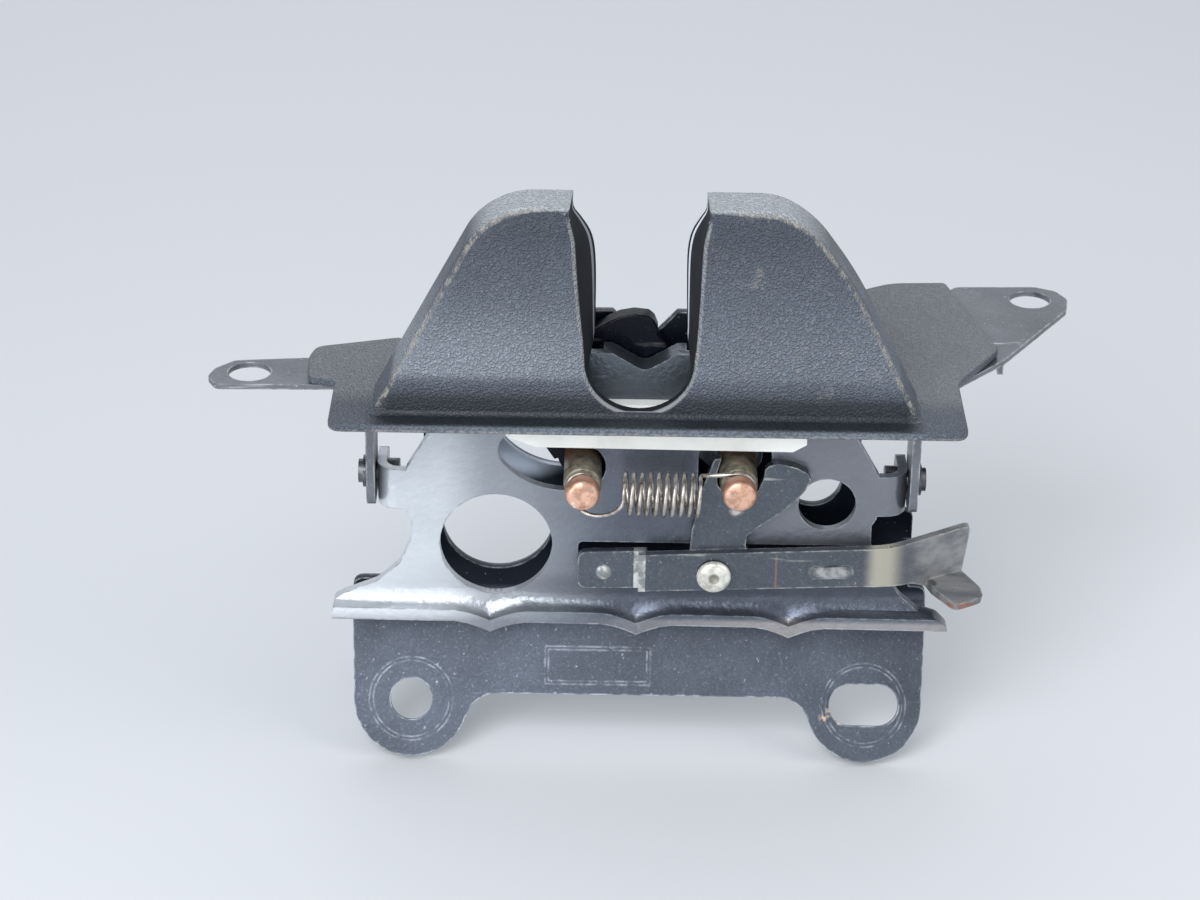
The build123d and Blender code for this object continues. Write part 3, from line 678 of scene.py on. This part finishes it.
def grained_plastic(name):
    """Make black moulded plastic with a leather grain.

    The hills of the grain are added to fine noise, and the hollows get
    painted shade. The horns get painted light lower down and painted shade
    towards the top, their tops and the flat wings get painted light, and
    edges are worn grey in places, partly also as painted highlights. The
    foot of the hood gets a painted dark reflection and is smooth. The walls
    of the notch are black, smooth and matt, with one painted highlight line
    down each.
    """
    c = colours()
    f = Finish(name, c.cover)
    x, y, z = f.parts(f.place)
    normal_x, normal_y, normal_z = f.parts(f.ground())
    away = f.off(x, WALLS_MIDDLE)
    upward = f.between(normal_z, 0.45, 0.95)
    wall, worn_line = notch_masks(f, (x, y, z), normal_z)
    smooth = f.times(
        f.ramp(z, 0.5, -3.6), f.ramp(y, -6.9, -7.6), f.stripe(x, 0.0, 58.0, 53.0),
    )
    foot = f.times(smooth, f.ramp(z, -7.3, -6.7))
    hills = leather(f)

    # The horns, from their plain colour through painted light low down, painted shade high up and
    # in the grain's hollows, to the scuffs
    f.lay(scaled(c.cover, 1.3), f.drift(28, 4))
    # Painted light on the lower horns, more on the left
    f.lay(
        "horn low light",
        f.ramp(z, 24.0, 4.0, 0.0, 0.7), f.ramp(z, 0.0, 3.0),
        f.ramp(x, 10.0, -30.0, 0.4, 1.0),
    )
    # Painted shade towards the tops of the horns
    f.lay("horn high shade", f.ramp(z, 21.0, 34.0, 0.0, 0.45))
    # Painted shade in the hollows of the grain
    f.lay(scaled(c.cover, 0.22), f.between(hills, 0.55, 0.0, 0.0, 0.48))
    f.lay(
        "horn scuffs",
        f.between(f.noise(150, 6, 0.8), 0.56, 0.68, 0.0, 0.5),
        f.ramp(x, 8.0, 38.0, 0.15, 1.0), f.ramp(z, -5.0, 0.0),
    )

    # The foot's painted dark reflection, painted light on the tops and wings, and the notch with
    # a painted highlight line
    # A painted dark reflection at the hood's foot
    f.lay(c.notch, foot, 0.85)
    # Painted light on the horns' upward tops
    f.lay(c.cover_top_light, upward, f.ramp(z, 0.0, 20.0), f.ramp(away, 12.2, 13.2), 0.95)
    # Painted light on the flat upward faces of the wings
    f.lay(c.cover_wear_and_light, upward, f.ramp(y, -6.0, 4.0), f.ramp(z, 0.0, -4.0, 0.0, 0.42))
    f.lay(c.notch, wall)
    f.lay(c.cover_wear_and_light, worn_line, 0.7)
    looks_inward = f.times(f.math("ADD", x, -WALLS_MIDDLE * MM), normal_x)
    # A painted highlight line down each wall of the notch
    f.lay(
        "notch wall highlight",
        f.stripe(y, 3.0, 0.75, 0.4), wall, f.ramp(x, -12.0, 6.0, 0.4, 1.0),
        f.ramp(looks_inward, 0.0, -2.0),
    )

    # The worn edges: the horns' round ones, the rim's, and the sharp ones, which are partly
    # painted highlights
    forward = f.times(normal_y, -1.0)
    horn_edge = f.times(
        f.between(forward, 0.34, 0.5), f.between(forward, 0.9, 0.76),
        f.ramp(away, 18.0, 20.0), f.ramp(z, -6.2, -4.0),
    )
    rim_edge = f.times(f.ramp(z, -7.6, -8.1), f.ramp(y, -12.3, -12.8), 0.7)
    torn = f.between(f.noise(620, 5, 0.7), 0.42, 0.6, 0.1, 0.75)
    f.lay("horn edge", f.math("MAXIMUM", horn_edge, rim_edge), torn)
    rough_part = f.math("SUBTRACT", 1.0, f.math("MAXIMUM", foot, wall))
    broken = f.cloud(340, 4, 0.38, 0.6, 0.15, 0.95)
    # The sharp edges are worn, and lighter also as a painted highlight
    f.lay(c.cover_wear_and_light, f.edges(0.9, 0.02, 0.22), rough_part, broken)

    roughness = f.math("ADD", f.drift(120, 3, 0.38, 0.5), f.times(wall, 0.4))
    height = f.math("ADD", f.times(hills, 0.8), f.times(f.noise(2600, 3), 0.35))
    grained = f.math("SUBTRACT", 1.0, f.math("MAXIMUM", wall, f.times(smooth, 0.8)))
    normal = f.bumps(f.times(height, grained), 1.0, 0.5)
    return f.finish(0.0, roughness, normal, 0.34)


def stud_plating(name, zinc, copper, rust):
    """Make the studs' plating: zinc collars, reddish heads and rusty corners."""
    f = Finish(name, zinc)
    x, y, z = f.parts(f.place)
    f.lay(scaled(zinc, 0.4), f.cloud(420, 4, 0.4, 0.66))
    mottle = f.cloud(620, 4, 0.52, 0.66)
    head = f.mix(mottle, copper, "stud mottle")
    shine = f.cloud(330, 3, 0.62, 0.72)
    head = f.mix(shine, head, "stud shine")
    head = f.mix(f.times(f.ramp(y, -13.6, -12.8), 0.6), head, "stud tip")
    f.lay(head, f.ramp(y, -9.4, -10.2))

    spots = f.cloud(360, 4, 0.5, 0.62)
    rusty = f.math("MAXIMUM", f.times(spots, 0.5), f.ramp(y, -3.0, 1.5))
    f.lay(rust, rusty)
    metallic = f.between(rusty, 0.2, 0.8, 0.6, 0.1)
    normal = f.bumps(f.noise(900, 4), 0.2, 0.1)
    return f.finish(metallic, f.drift(260, 3, 0.26, 0.55), normal)


def bright_steel(name, base, dull, rough=(0.22, 0.45), scale=300, metallic=0.9, hollow=None):
    """Make bright steel that is dulled in clouds and pitted finely.

    hollow is the centre, in millimetres, of a small dark dimple.
    """
    f = Finish(name, base)
    f.lay(dull, f.cloud(scale, 4, 0.38, 0.68))
    if hollow is not None:
        f.lay("rivet dimple", f.spot(hollow, DIMPLE), 0.8)
    normal = f.bumps(f.noise(scale * 4, 3), 0.12, 0.05)
    return f.finish(metallic, f.drift(scale * 1.4, 3, *rough), normal)


def smooth_nylon(name, base):
    """Make cream nylon with faint clouds and a soft gloss."""
    f = Finish(name, base)
    f.lay(scaled(base, 0.86), f.cloud(90, 4, 0.35, 0.7))
    normal = f.bumps(f.noise(700, 3), 0.08, 0.05)
    return f.finish(0.0, f.drift(200, 3, 0.34, 0.5), normal)


def pale_floor(name, base):
    """Make a plain pale floor with a very faint cloud in it."""
    f = Finish(name, base)
    f.lay(scaled(base, 0.97), f.drift(1.4, 2))
    return f.finish(0.0, 0.7)


def dress(node, material, edge):
    """Give a CAD node its finish, and round its edges to a radius in metres."""
    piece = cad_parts[node]
    piece.data.materials.clear()
    piece.data.materials.append(material)
    smooth_faces(piece.data)
    configure(piece.modifiers.new("weld", "WELD"), merge_threshold=2e-6)
    configure(
        piece.modifiers.new("edge", "BEVEL"), width=edge, segments=2,
        limit_method="ANGLE", angle_limit=math.radians(38), use_clamp_overlap=True,
        miter_outer="MITER_ARC",
    )
    even_normals(piece, 90)


def place(piece, body, slot, material, *nodes):
    """Let a new piece ride on its body, take its material and replace its nodes. slot is not
    used.
    """
    piece.data.materials.append(material)
    if nodes:
        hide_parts(*nodes)
    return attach(piece, body)


# Cover

# The hood's outline beside the notch, each corner as (x, z, reach)
HOOD_LEFT = [
    (-56.5, -8.3, 0.0), (-44.9, 13.4, 16.0), (-34.6, 32.8, 8.0), (-27.0, 37.4, 5.0),
]
HOOD_RIGHT = [
    (26.4, 37.4, 5.0), (34.0, 32.4, 8.0), (42.9, 20.2, 10.0), (56.9, -8.3, 0.0),
]

# The notch at its two ends along Y: points down its left side and its right
# side as (x, z), and the left, right and bottom of the half circle under them
NOTCH_FRONT = (
    [(-16.2, 37.4), (-16.3, 36.4), (-16.6, 34.5), (-16.9, 31.5), (-17.0, 27.0),
     (-16.0, 19.0), (-14.0, 10.0)],
    [(12.3, 37.4), (12.4, 36.4), (12.6, 34.5), (12.8, 31.5), (12.9, 27.0),
     (12.4, 19.0), (11.2, 10.0)],
    (-13.5, 10.6, -6.0),
)
NOTCH_REAR = (
    [(-15.0, 37.4), (-14.9, 33.9), (-13.2, 31.6), (-11.2, 28.6), (-10.2, 25.0),
     (-9.9, 19.0), (-10.0, 8.0)],
    [(11.8, 37.4), (11.7, 33.9), (10.3, 31.6), (8.7, 28.8), (7.9, 25.0),
     (7.9, 19.0), (8.3, 8.0)],
    (-10.0, 8.3, -5.0),
)
NOTCH_FRONT_Y = -14.0
NOTCH_REAR_Y = 6.0
NOTCH_FLOOR_BACK_Y = -6.2

# The rim with its two wings, each corner as (x, y, reach)
RIM_OUTLINE = [
    (-64.1, -13.5, 3.0), (65.5, -13.5, 3.0), (65.5, 10.5, 2.0), (75.7, 27.2, 2.0),
    (67.2, 61.6, 1.2), (54.8, 60.9, 3.0), (47.2, 56.4, 3.0), (50.5, 22.0, 8.0),
    (53.7, 8.0, 2.0), (53.7, -7.45, 0.4), (-53.2, -7.45, 0.4), (-53.2, 8.0, 2.0),
    (-51.0, 22.0, 3.0), (-51.0, 28.9, 2.0), (-69.2, 23.4, 1.6), (-70.5, 19.0, 2.0),
    (-69.7, 8.3, 2.0), (-64.1, 7.0, 1.0),
]

# The hollow fillet at the hood's foot, and how it fades out at its two ends
FOOT_LOW = -6.7
FOOT_BACK_Y = -7.9
FOOT_INSET = 0.02
FOOT_X = np.array([-55.9, -55.3, -54.1, 54.3, 55.6, 56.3])
FOOT_SHARE = np.array([0.35, 0.75, 1.0, 1.0, 0.75, 0.35])


def hood_face(z):
    """Return the Y of the hood's leaning front at a height."""
    return HOOD_FACE_Y + HOOD_LEAN * (z - RIM_LOW)


def hood_paths():
    """Return the hood's outline at the notch's front and rear, point for point.

    Both run from the left foot over the left horn, down and round the notch,
    over the right horn and down to the right foot. The notch is a half
    circle under two smooth curves, wider at the front than at the rear,
    where its top corners are rounder.
    """
    paths = []
    for side_left, side_right, (x_left, x_right, bottom) in (NOTCH_FRONT, NOTCH_REAR):
        radius = (x_right - x_left) / 2
        centre = (x_right + x_left) / 2
        turn = np.linspace(np.pi, FULL_TURN, 29)
        arc = np.stack([
            centre + radius * np.cos(turn), bottom + radius + radius * np.sin(turn),
        ], 1)
        down = flowing(np.array(side_left), 3)
        up = flowing(np.array(side_right), 3)[::-1]
        middle = [(x, z, 0.0) for x, z in np.vstack([down, arc, up])]
        paths.append(corners(HOOD_LEFT + middle + HOOD_RIGHT, 8))
    return paths


def hood_grid(s):
    """Return the hood's points, with a row for each point of its outline.

    The first columns round the front edge: the outline moves inwards by the
    edge radius times one minus the sine of an angle, and back by the radius
    times one minus its cosine. The other columns run straight back. At each
    Y the outline is the front one plus a share of the way to the rear one,
    and the share grows evenly with Y.
    """
    front, rear = hood_paths()
    if len(front) != len(rear):
        raise RuntimeError("the hood's two outlines don't match")
    z = front[:, 1]
    from_middle = np.abs(front[:, 0] - NOTCH_MIDDLE)
    outside = eased(from_middle, 18.0, 26.0)
    edge = ((s.notch_edge + (s.hood_edge - s.notch_edge) * outside) / MM)[:, None]
    mitre = inward(front, False)
    mitre[0] = (1.0, 0.0)
    mitre[-1] = (-1.0, 0.0)
    in_notch = (from_middle < 17.5) & (z < 37.0)
    deeper = (HOOD_BACK_Y - NOTCH_FLOOR_BACK_Y) * eased(z, 1.0, 9.0)
    back_y = np.where(in_notch, NOTCH_FLOOR_BACK_Y + deeper, HOOD_BACK_Y)[:, None]
    face_y = hood_face(z)[:, None]

    angle = np.linspace(0, QUARTER, 8)
    share = np.linspace(0, 1, 7)[1:]
    off = np.concatenate([
        edge * (1 - np.sin(angle)), np.zeros((len(front), len(share))),
    ], 1)
    y = np.concatenate([
        face_y + edge * (1 - np.cos(angle)),
        face_y + edge + (back_y - face_y - edge) * share,
    ], 1)
    t = ((y - NOTCH_FRONT_Y) / (NOTCH_REAR_Y - NOTCH_FRONT_Y))[:, :, None]
    flat = front[:, None] + (rear - front)[:, None] * t + mitre[:, None] * off[:, :, None]
    points = np.stack([flat[:, :, 0], y, flat[:, :, 1]], 2)
    points[:, 0, 1] = hood_face(points[:, 0, 2])
    return points


def add_hood(s, plastic):
    """Make the hood as a shell, closed by one flat face at its front."""
    points = hood_grid(s)
    rows, cols = points.shape[:2]
    hood = surface("hood", points, caps=(np.arange(rows) * cols,))
    work = bmesh.new()
    work.from_mesh(hood.data)
    cap = max(work.faces, key=lambda face: face.calc_area())
    if cap.normal.y > 0:
        bmesh.ops.reverse_faces(work, faces=work.faces)
    bmesh.ops.triangulate(work, faces=[cap], ngon_method="EAR_CLIP")
    work.to_mesh(hood.data)
    work.free()
    configure(
        hood.modifiers.new("wall", "SOLIDIFY"), thickness=s.hood_wall, offset=-1.0,
        use_even_offset=False, use_rim=True,
    )
    configure(
        hood.modifiers.new("soft", "BEVEL"), width=0.3 * MM, segments=2,
        limit_method="ANGLE", angle_limit=math.radians(50),
    )
    even_normals(hood, 80)
    place(hood, "housing", "grained_cover", plastic, "cover")


def add_rim(s, plastic):
    """Make the rim under the hood, with the two wings."""
    outline = corners(RIM_OUTLINE)
    rim = pillow_plate("rim_and_wings", outline, RIM_LOW, RIM_HIGH, s.rim_edge / MM)
    even_normals(rim, 80)
    place(rim, "housing", "grained_cover", plastic, "cover")


def add_foot(s, plastic):
    """Make the hollow fillet where the hood's front meets the rim.

    A section's point rises by the radius times one minus the cosine of an
    angle, and stands before the hood's front by the radius times one minus
    its sine. Towards the ends the section shrinks about its lower back.
    """
    radius = s.hood_fillet / MM
    angle = np.linspace(0, QUARTER, 13)
    z = FOOT_LOW + radius * (1 - np.cos(angle))
    y = hood_face(z) - radius * (1 - np.sin(angle)) + FOOT_INSET
    y = np.concatenate([y, [FOOT_BACK_Y, FOOT_BACK_Y]])
    z = np.concatenate([z, [z[-1], z[0]]])
    share = FOOT_SHARE[:, None]
    points = np.stack([
        np.broadcast_to(FOOT_X[:, None], (len(FOOT_X), len(y))),
        FOOT_BACK_Y + (y - FOOT_BACK_Y) * share,
        FOOT_LOW + (z - FOOT_LOW) * share,
    ], 2)
    foot = capped("hood_foot", points)
    place(foot, "housing", "grained_cover", plastic, "cover")


class LATCH_OT_cover(bpy.types.Operator):
    """Make the hood, its foot and the rim with the two wings"""
    bl_idname = "latch.cover"
    bl_label = "Cover"

    def execute(self, context):
        plastic = grained_plastic("grained_cover")
        for add in (add_hood, add_rim, add_foot):
            add(sizes(), plastic)
        return {"FINISHED"}


# Steel pieces

# The two studs and the lever's pivot, as (x, z)
CLAW_STUD = (-12.4, -22.5)
PAWL_STUD = (19.7, -22.1)
LEVER_PIVOT = (15.3, -45.5)

# The lever's rivet, as (radius, y)
LEVER_RIVET = [
    (0.0, -5.3), (0.35, -5.32), (0.7, -5.5), (1.0, -5.68), (1.4, -5.76), (2.4, -5.7),
    (3.1, -5.45), (3.5, -5.05), (3.62, -4.7), (3.62, -4.45), (3.45, -4.3),
    (2.5, -4.3), (2.5, -1.95), (3.8, -1.9), (3.8, 0.0), (2.5, 0.0), (2.5, 2.0),
    (3.5, 2.0), (3.6, 2.3), (3.3, 2.9), (0.0, 3.0),
]

# The spring: its groove's radius, its coil's axis and ends, the points of a
# turn, the angles of its two hooks, and the way from the left hook to the coil
GROOVE_R = 2.4
SPRING_Y = -9.07
SPRING_Z = -23.9
COIL_START = -4.1
COIL_END = 11.9
TURN_STEPS = 12
WIRE_SIDES = 12
LEFT_HOOK = [60, 95, 130, 165, 200, 230]
RIGHT_HOOK = [90, 50, 10, -30, -70, -110]
LEAD_IN = np.array([
    (-13.0, -9.6, -27.2), (-10.8, -10.4, -28.1), (-8.6, -11.2, -27.9),
    (-6.6, -12.2, -26.9), (-5.1, -13.1, -25.5),
])


def stud_profile(collar, head):
    """Return a stud's profile as (radius, y), from its head to its tenon."""
    return [
        (0.0, -13.7), (head - 1.4, -13.66), (head - 0.8, -13.5), (head - 0.3, -13.1),
        (head, -12.5), (head, -10.45), (head - 0.12, -10.15), (head - 0.4, -10.0),
        (2.6, -9.98), (GROOVE_R, -9.8), (GROOVE_R, -8.4), (2.6, -8.22),
        (collar - 0.45, -8.2), (collar - 0.15, -8.05), (collar, -7.75), (collar, -5.9),
        (collar - 0.12, -5.7), (collar - 0.12, -5.45), (collar, -5.25), (collar, 5.85),
        (2.5, 5.9), (2.5, 9.9), (0.0, 10.0),
    ]


def hook_points(stud, radius, degrees):
    """Return points of a circle round a stud.

    A point is the stud's x plus the radius times the cosine of its angle,
    and the stud's z plus the radius times the sine.
    """
    turn = np.radians(degrees)
    return np.stack([
        stud[0] + radius * np.cos(turn), SPRING_Y + 0 * turn,
        stud[1] + radius * np.sin(turn),
    ], 1)


def spring_path(s):
    """Return the wire's middle line, and the number of its middle point.

    The coil's point goes evenly along X while its Y and Z go round by the
    coil's radius times the cosine and the sine of the turn.
    """
    hook = GROOVE_R + s.wire / MM + 0.3
    radius = s.coil / MM
    steps = int(round(s.turns * TURN_STEPS))
    turn = -np.pi - FULL_TURN * np.arange(steps + 1) / TURN_STEPS
    along = COIL_START + (COIL_END - COIL_START) * np.arange(steps + 1) / steps
    coil = np.stack([
        along, SPRING_Y + radius * np.cos(turn), SPRING_Z + radius * np.sin(turn),
    ], 1)
    x, z = PAWL_STUD
    lead_out = np.array([
        (COIL_END + 2.0, SPRING_Y + 0.4, SPRING_Z + 4.3), (x - 2.6, SPRING_Y, z + hook - 0.2),
    ])
    left = hook_points(CLAW_STUD, hook, LEFT_HOOK)
    right = hook_points(PAWL_STUD, hook, RIGHT_HOOK)
    path = flowing(np.concatenate([left, LEAD_IN, coil, lead_out, right]), 3)
    return path, (len(left) + len(LEAD_IN) + steps // 2) * 3


class LATCH_OT_plates(bpy.types.Operator):
    """Finish the front plate, the back plate and the cream strip"""
    bl_idname = "latch.plates"
    bl_label = "Plates"

    def execute(self, context):
        c = colours()
        edge = sizes().sheet_edge
        dress("front_plate", coated_steel(
            "front_plate_coat", c.coat, c.coat_light, "plate worn",
            rough=(0.28, 0.44), extra=plate_patches, rub_and_light=(0.02, 0.2, 0.95),
            left_edge="plate left edge", peel=0.5,
        ), edge)
        dress("back_plate", coated_steel(
            "back_plate_coat", c.flange, scaled(c.flange, 1.5), "back plate worn",
            metallic=0.7, extra=back_plate_patches, rub_and_light=(0.03, 0.24, 0.85),
        ), edge)
        dress("buffer_strip", smooth_nylon("cream_nylon", c.nylon), 0.35 * MM)
        return {"FINISHED"}


class LATCH_OT_mechanism(bpy.types.Operator):
    """Finish the claw and the pawl"""
    bl_idname = "latch.mechanism"
    bl_label = "Claw and pawl"

    def execute(self, context):
        c = colours()
        dress("claw", coated_steel(
            "mechanism_coat", c.mechanism, scaled(c.mechanism, 1.3), "claw worn",
            metallic=0.05, rough=(0.22, 0.36), marks=0.3, rub_and_light=(0.05, 0.3, 0.9),
            speckle=0.04, gloss=0.14,
        ), 0.35 * MM)
        dress("pawl", coated_steel(
            "pawl_coat", c.pawl, scaled(c.pawl, 1.3), "pawl worn",
            metallic=0.6, rough=(0.2, 0.36), marks=0.6,
        ), 0.35 * MM)
        return {"FINISHED"}


class LATCH_OT_lever(bpy.types.Operator):
    """Finish the release lever and make its rivet"""
    bl_idname = "latch.lever"
    bl_label = "Release lever"

    def execute(self, context):
        c = colours()
        dress("release_lever", coated_steel(
            "lever_coat", c.lever, scaled(c.lever, 1.25), "lever worn",
            rough=(0.26, 0.42), marks=0.7, extra=lever_patches, rub_and_light=(0.015, 0.14, 1.0),
            speckle=0.22,
        ), sizes().sheet_edge)
        x, z = LEVER_PIVOT
        rivet = turned("lever_rivet_head", LEVER_RIVET, x, z, sizes().around)
        steel = bright_steel(
            "rivet_steel", c.rivet, "rivet dull", rough=(0.3, 0.5), scale=420,
            metallic=0.45, hollow=(x, LEVER_RIVET[0][1], z),
        )
        place(rivet, "housing", "rivet_steel", steel, "lever_rivet")
        return {"FINISHED"}


class LATCH_OT_studs(bpy.types.Operator):
    """Turn the two stepped studs that hold the spring"""
    bl_idname = "latch.studs"
    bl_label = "Studs"

    def execute(self, context):
        c = colours()
        s = sizes()
        plating = stud_plating("yellow_zinc", c.zinc, c.copper, c.rust)
        profile = stud_profile(s.collar / MM, s.head / MM)
        for body, (x, z) in (("claw", CLAW_STUD), ("pawl", PAWL_STUD)):
            stud = turned(body + "_stud_turned", profile, x, z, s.around)
            place(stud, body, "yellow_zinc", plating, body + "_stud")
        return {"FINISHED"}


class LATCH_OT_spring(bpy.types.Operator):
    """Wind the return spring with its two hooks"""
    bl_idname = "latch.spring"
    bl_label = "Return spring"

    def execute(self, context):
        s = sizes()
        path, middle = spring_path(s)
        steel = bright_steel(
            "spring_wire", colours().wire, "wire dull", rough=(0.25, 0.42), scale=500,
        )
        # The wire in two halves, split at the coil's middle
        halves = (
            ("return_spring_left", path[:middle + 1], "claw", "housing", -9.5, 4.0),
            ("return_spring_right", path[middle:], "housing", "pawl", 4.0, 15.8),
        )
        for name, part, first, second, begin, finish in halves:
            wire = tube(name, part, s.wire / MM, WIRE_SIDES)
            wire.data.materials.append(steel)
            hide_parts("tension_spring")
            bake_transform(wire)
        return {"FINISHED"}


class LATCH_OT_fittings(bpy.types.Operator):
    """Finish the brackets and the pivot and side rivets"""
    bl_idname = "latch.fittings"
    bl_label = "Brackets and rivets"

    def execute(self, context):
        c = colours()
        coat = coated_steel(
            "bracket_coat", c.bracket, scaled(c.bracket, 1.3), "bracket worn",
            metallic=0.7, rough=(0.3, 0.45), marks=0.8, rub_and_light=(0.02, 0.2, 1.0),
        )
        dark = bright_steel("dark_rivet_steel", "dark rivet", "dark rivet dull")
        for name in ("bracket_left", "bracket_right"):
            dress(name, coat, 0.2 * MM)
        for name in ("claw_rivet", "pawl_rivet", "side_rivet_left", "side_rivet_right"):
            dress(name, dark, 0.2 * MM)
        return {"FINISHED"}


# Stage

# Each light as name, place, aim, width in metres, watts and tint
LIGHTS = (
    ("key", (-0.30, -0.76, 0.66), (0, 0, -0.02), 0.6, 7.6, (0.96, 0.98, 1.0)),
    ("side", (0.75, -0.25, 0.45), (0, 0, -0.02), 0.6, 2.2, (1.0, 0.98, 0.95)),
    ("low_left", (-0.42, -0.50, 0.02), (-0.02, 0, -0.04), 0.25, 1.0, (1, 1, 1)),
    ("low_front", (0.06, -0.75, 0.0), (0, 0, -0.03), 0.3, 0.5, (1, 1, 1)),
    ("back", (-0.10, 0.80, 0.62), (0, 0, 0.0), 0.7, 1.3, (0.97, 0.98, 1.0)),
)

# The world, the floor and the camera, in metres, degrees and millimetres of lens
ROOM_TINT = (0.90, 0.94, 1.0, 1.0)
ROOM_LIGHT = 0.62
FLOOR_HALF = 4.0
FLOOR_GAP = 0.0004
CAMERA_AT = (-0.00891, -0.59676, 0.28557)
CAMERA_TILT = 63.0
CAMERA_ROLL = 0.9
CAMERA_LENS = 97.2
CAMERA_SENSOR = 36.0


def area_light(name, place_at, aim, size, watts, tint):
    """Add a square soft light at a place, turned towards an aim."""
    item = add_object(name, configure(
        bpy.data.lights.new(name, "AREA"), shape="SQUARE", size=size, energy=watts,
        color=tint,
    ))
    item.location = place_at
    away = np.array(place_at, float) - np.array(aim, float)
    away /= np.linalg.norm(away)
    side = np.cross((0, 0, 1), away)
    side /= np.linalg.norm(side)
    up = np.cross(away, side)
    turn = Matrix([[side[i], up[i], away[i]] for i in range(3)])
    item.rotation_euler = turn.to_euler()


class LATCH_OT_stage(bpy.types.Operator):
    """Set up the floor, the soft lights and the camera"""
    bl_idname = "latch.stage"
    bl_label = "Stage"

    def execute(self, context):
        scene = context.scene
        scene.view_settings.view_transform = "Standard"
        low = CAD_BOX[0][2] - FLOOR_GAP
        half = FLOOR_HALF
        mesh = bpy.data.meshes.new("floor")
        mesh.from_pydata(
            [(-half, -half, low), (half, -half, low), (half, half, low), (-half, half, low)],
            [], [(0, 1, 2, 3)],
        )
        floor = add_object("floor", mesh)
        mesh.materials.append(pale_floor("pale_floor", colours().floor))

        world = bpy.data.worlds.new("soft_room")
        world.use_nodes = True
        ground = world.node_tree.nodes["Background"]
        ground.inputs["Color"].default_value = ROOM_TINT
        ground.inputs["Strength"].default_value = ROOM_LIGHT
        scene.world = world
        for light in LIGHTS:
            area_light(*light)

        item = add_object("camera", configure(
            bpy.data.cameras.new("camera"), lens=CAMERA_LENS, sensor_width=CAMERA_SENSOR,
            clip_start=0.02,
        ))
        tilt = Matrix.Rotation(math.radians(CAMERA_TILT), 4, "X")
        roll = Matrix.Rotation(math.radians(CAMERA_ROLL), 4, "Z")
        item.matrix_world = Matrix.Translation(CAMERA_AT) @ tilt @ roll
        scene.camera = item
        return {"FINISHED"}


class LATCH_PT_panel(bpy.types.Panel):
    """Sizes, colours and the steps that make the latch"""
    bl_label = "Seat latch"
    bl_idname = "LATCH_PT_panel"
    bl_space_type = "VIEW_3D"
    bl_region_type = "UI"
    bl_category = "Latch"

    def draw(self, context):
        layout = self.layout
        for group in (context.scene.latch_sizes, context.scene.latch_colours):
            box = layout.box()
            for key in group.__annotations__:
                box.prop(group, key)
        for step in STEPS:
            layout.operator(step.bl_idname)


STEPS = (
    LATCH_OT_stage, LATCH_OT_plates, LATCH_OT_mechanism, LATCH_OT_studs,
    LATCH_OT_spring, LATCH_OT_lever, LATCH_OT_fittings, LATCH_OT_cover,
)
CLASSES = (LatchSizes, LatchColours) + STEPS + (LATCH_PT_panel,)


def register():
    """Register the classes and hang the settings on the scene."""
    for item in CLASSES:
        bpy.utils.register_class(item)
    bpy.types.Scene.latch_sizes = PointerProperty(type=LatchSizes)
    bpy.types.Scene.latch_colours = PointerProperty(type=LatchColours)


def unregister():
    """Take the settings and the classes away again."""
    del bpy.types.Scene.latch_colours
    del bpy.types.Scene.latch_sizes
    for item in reversed(CLASSES):
        bpy.utils.unregister_class(item)


def main():
    """Run every step in order."""
    register()
    for step in STEPS:
        group, name = step.bl_idname.split(".")
        getattr(getattr(bpy.ops, group), name)()
    bpy.context.view_layer.update()


if __name__ == "__main__":
    main()
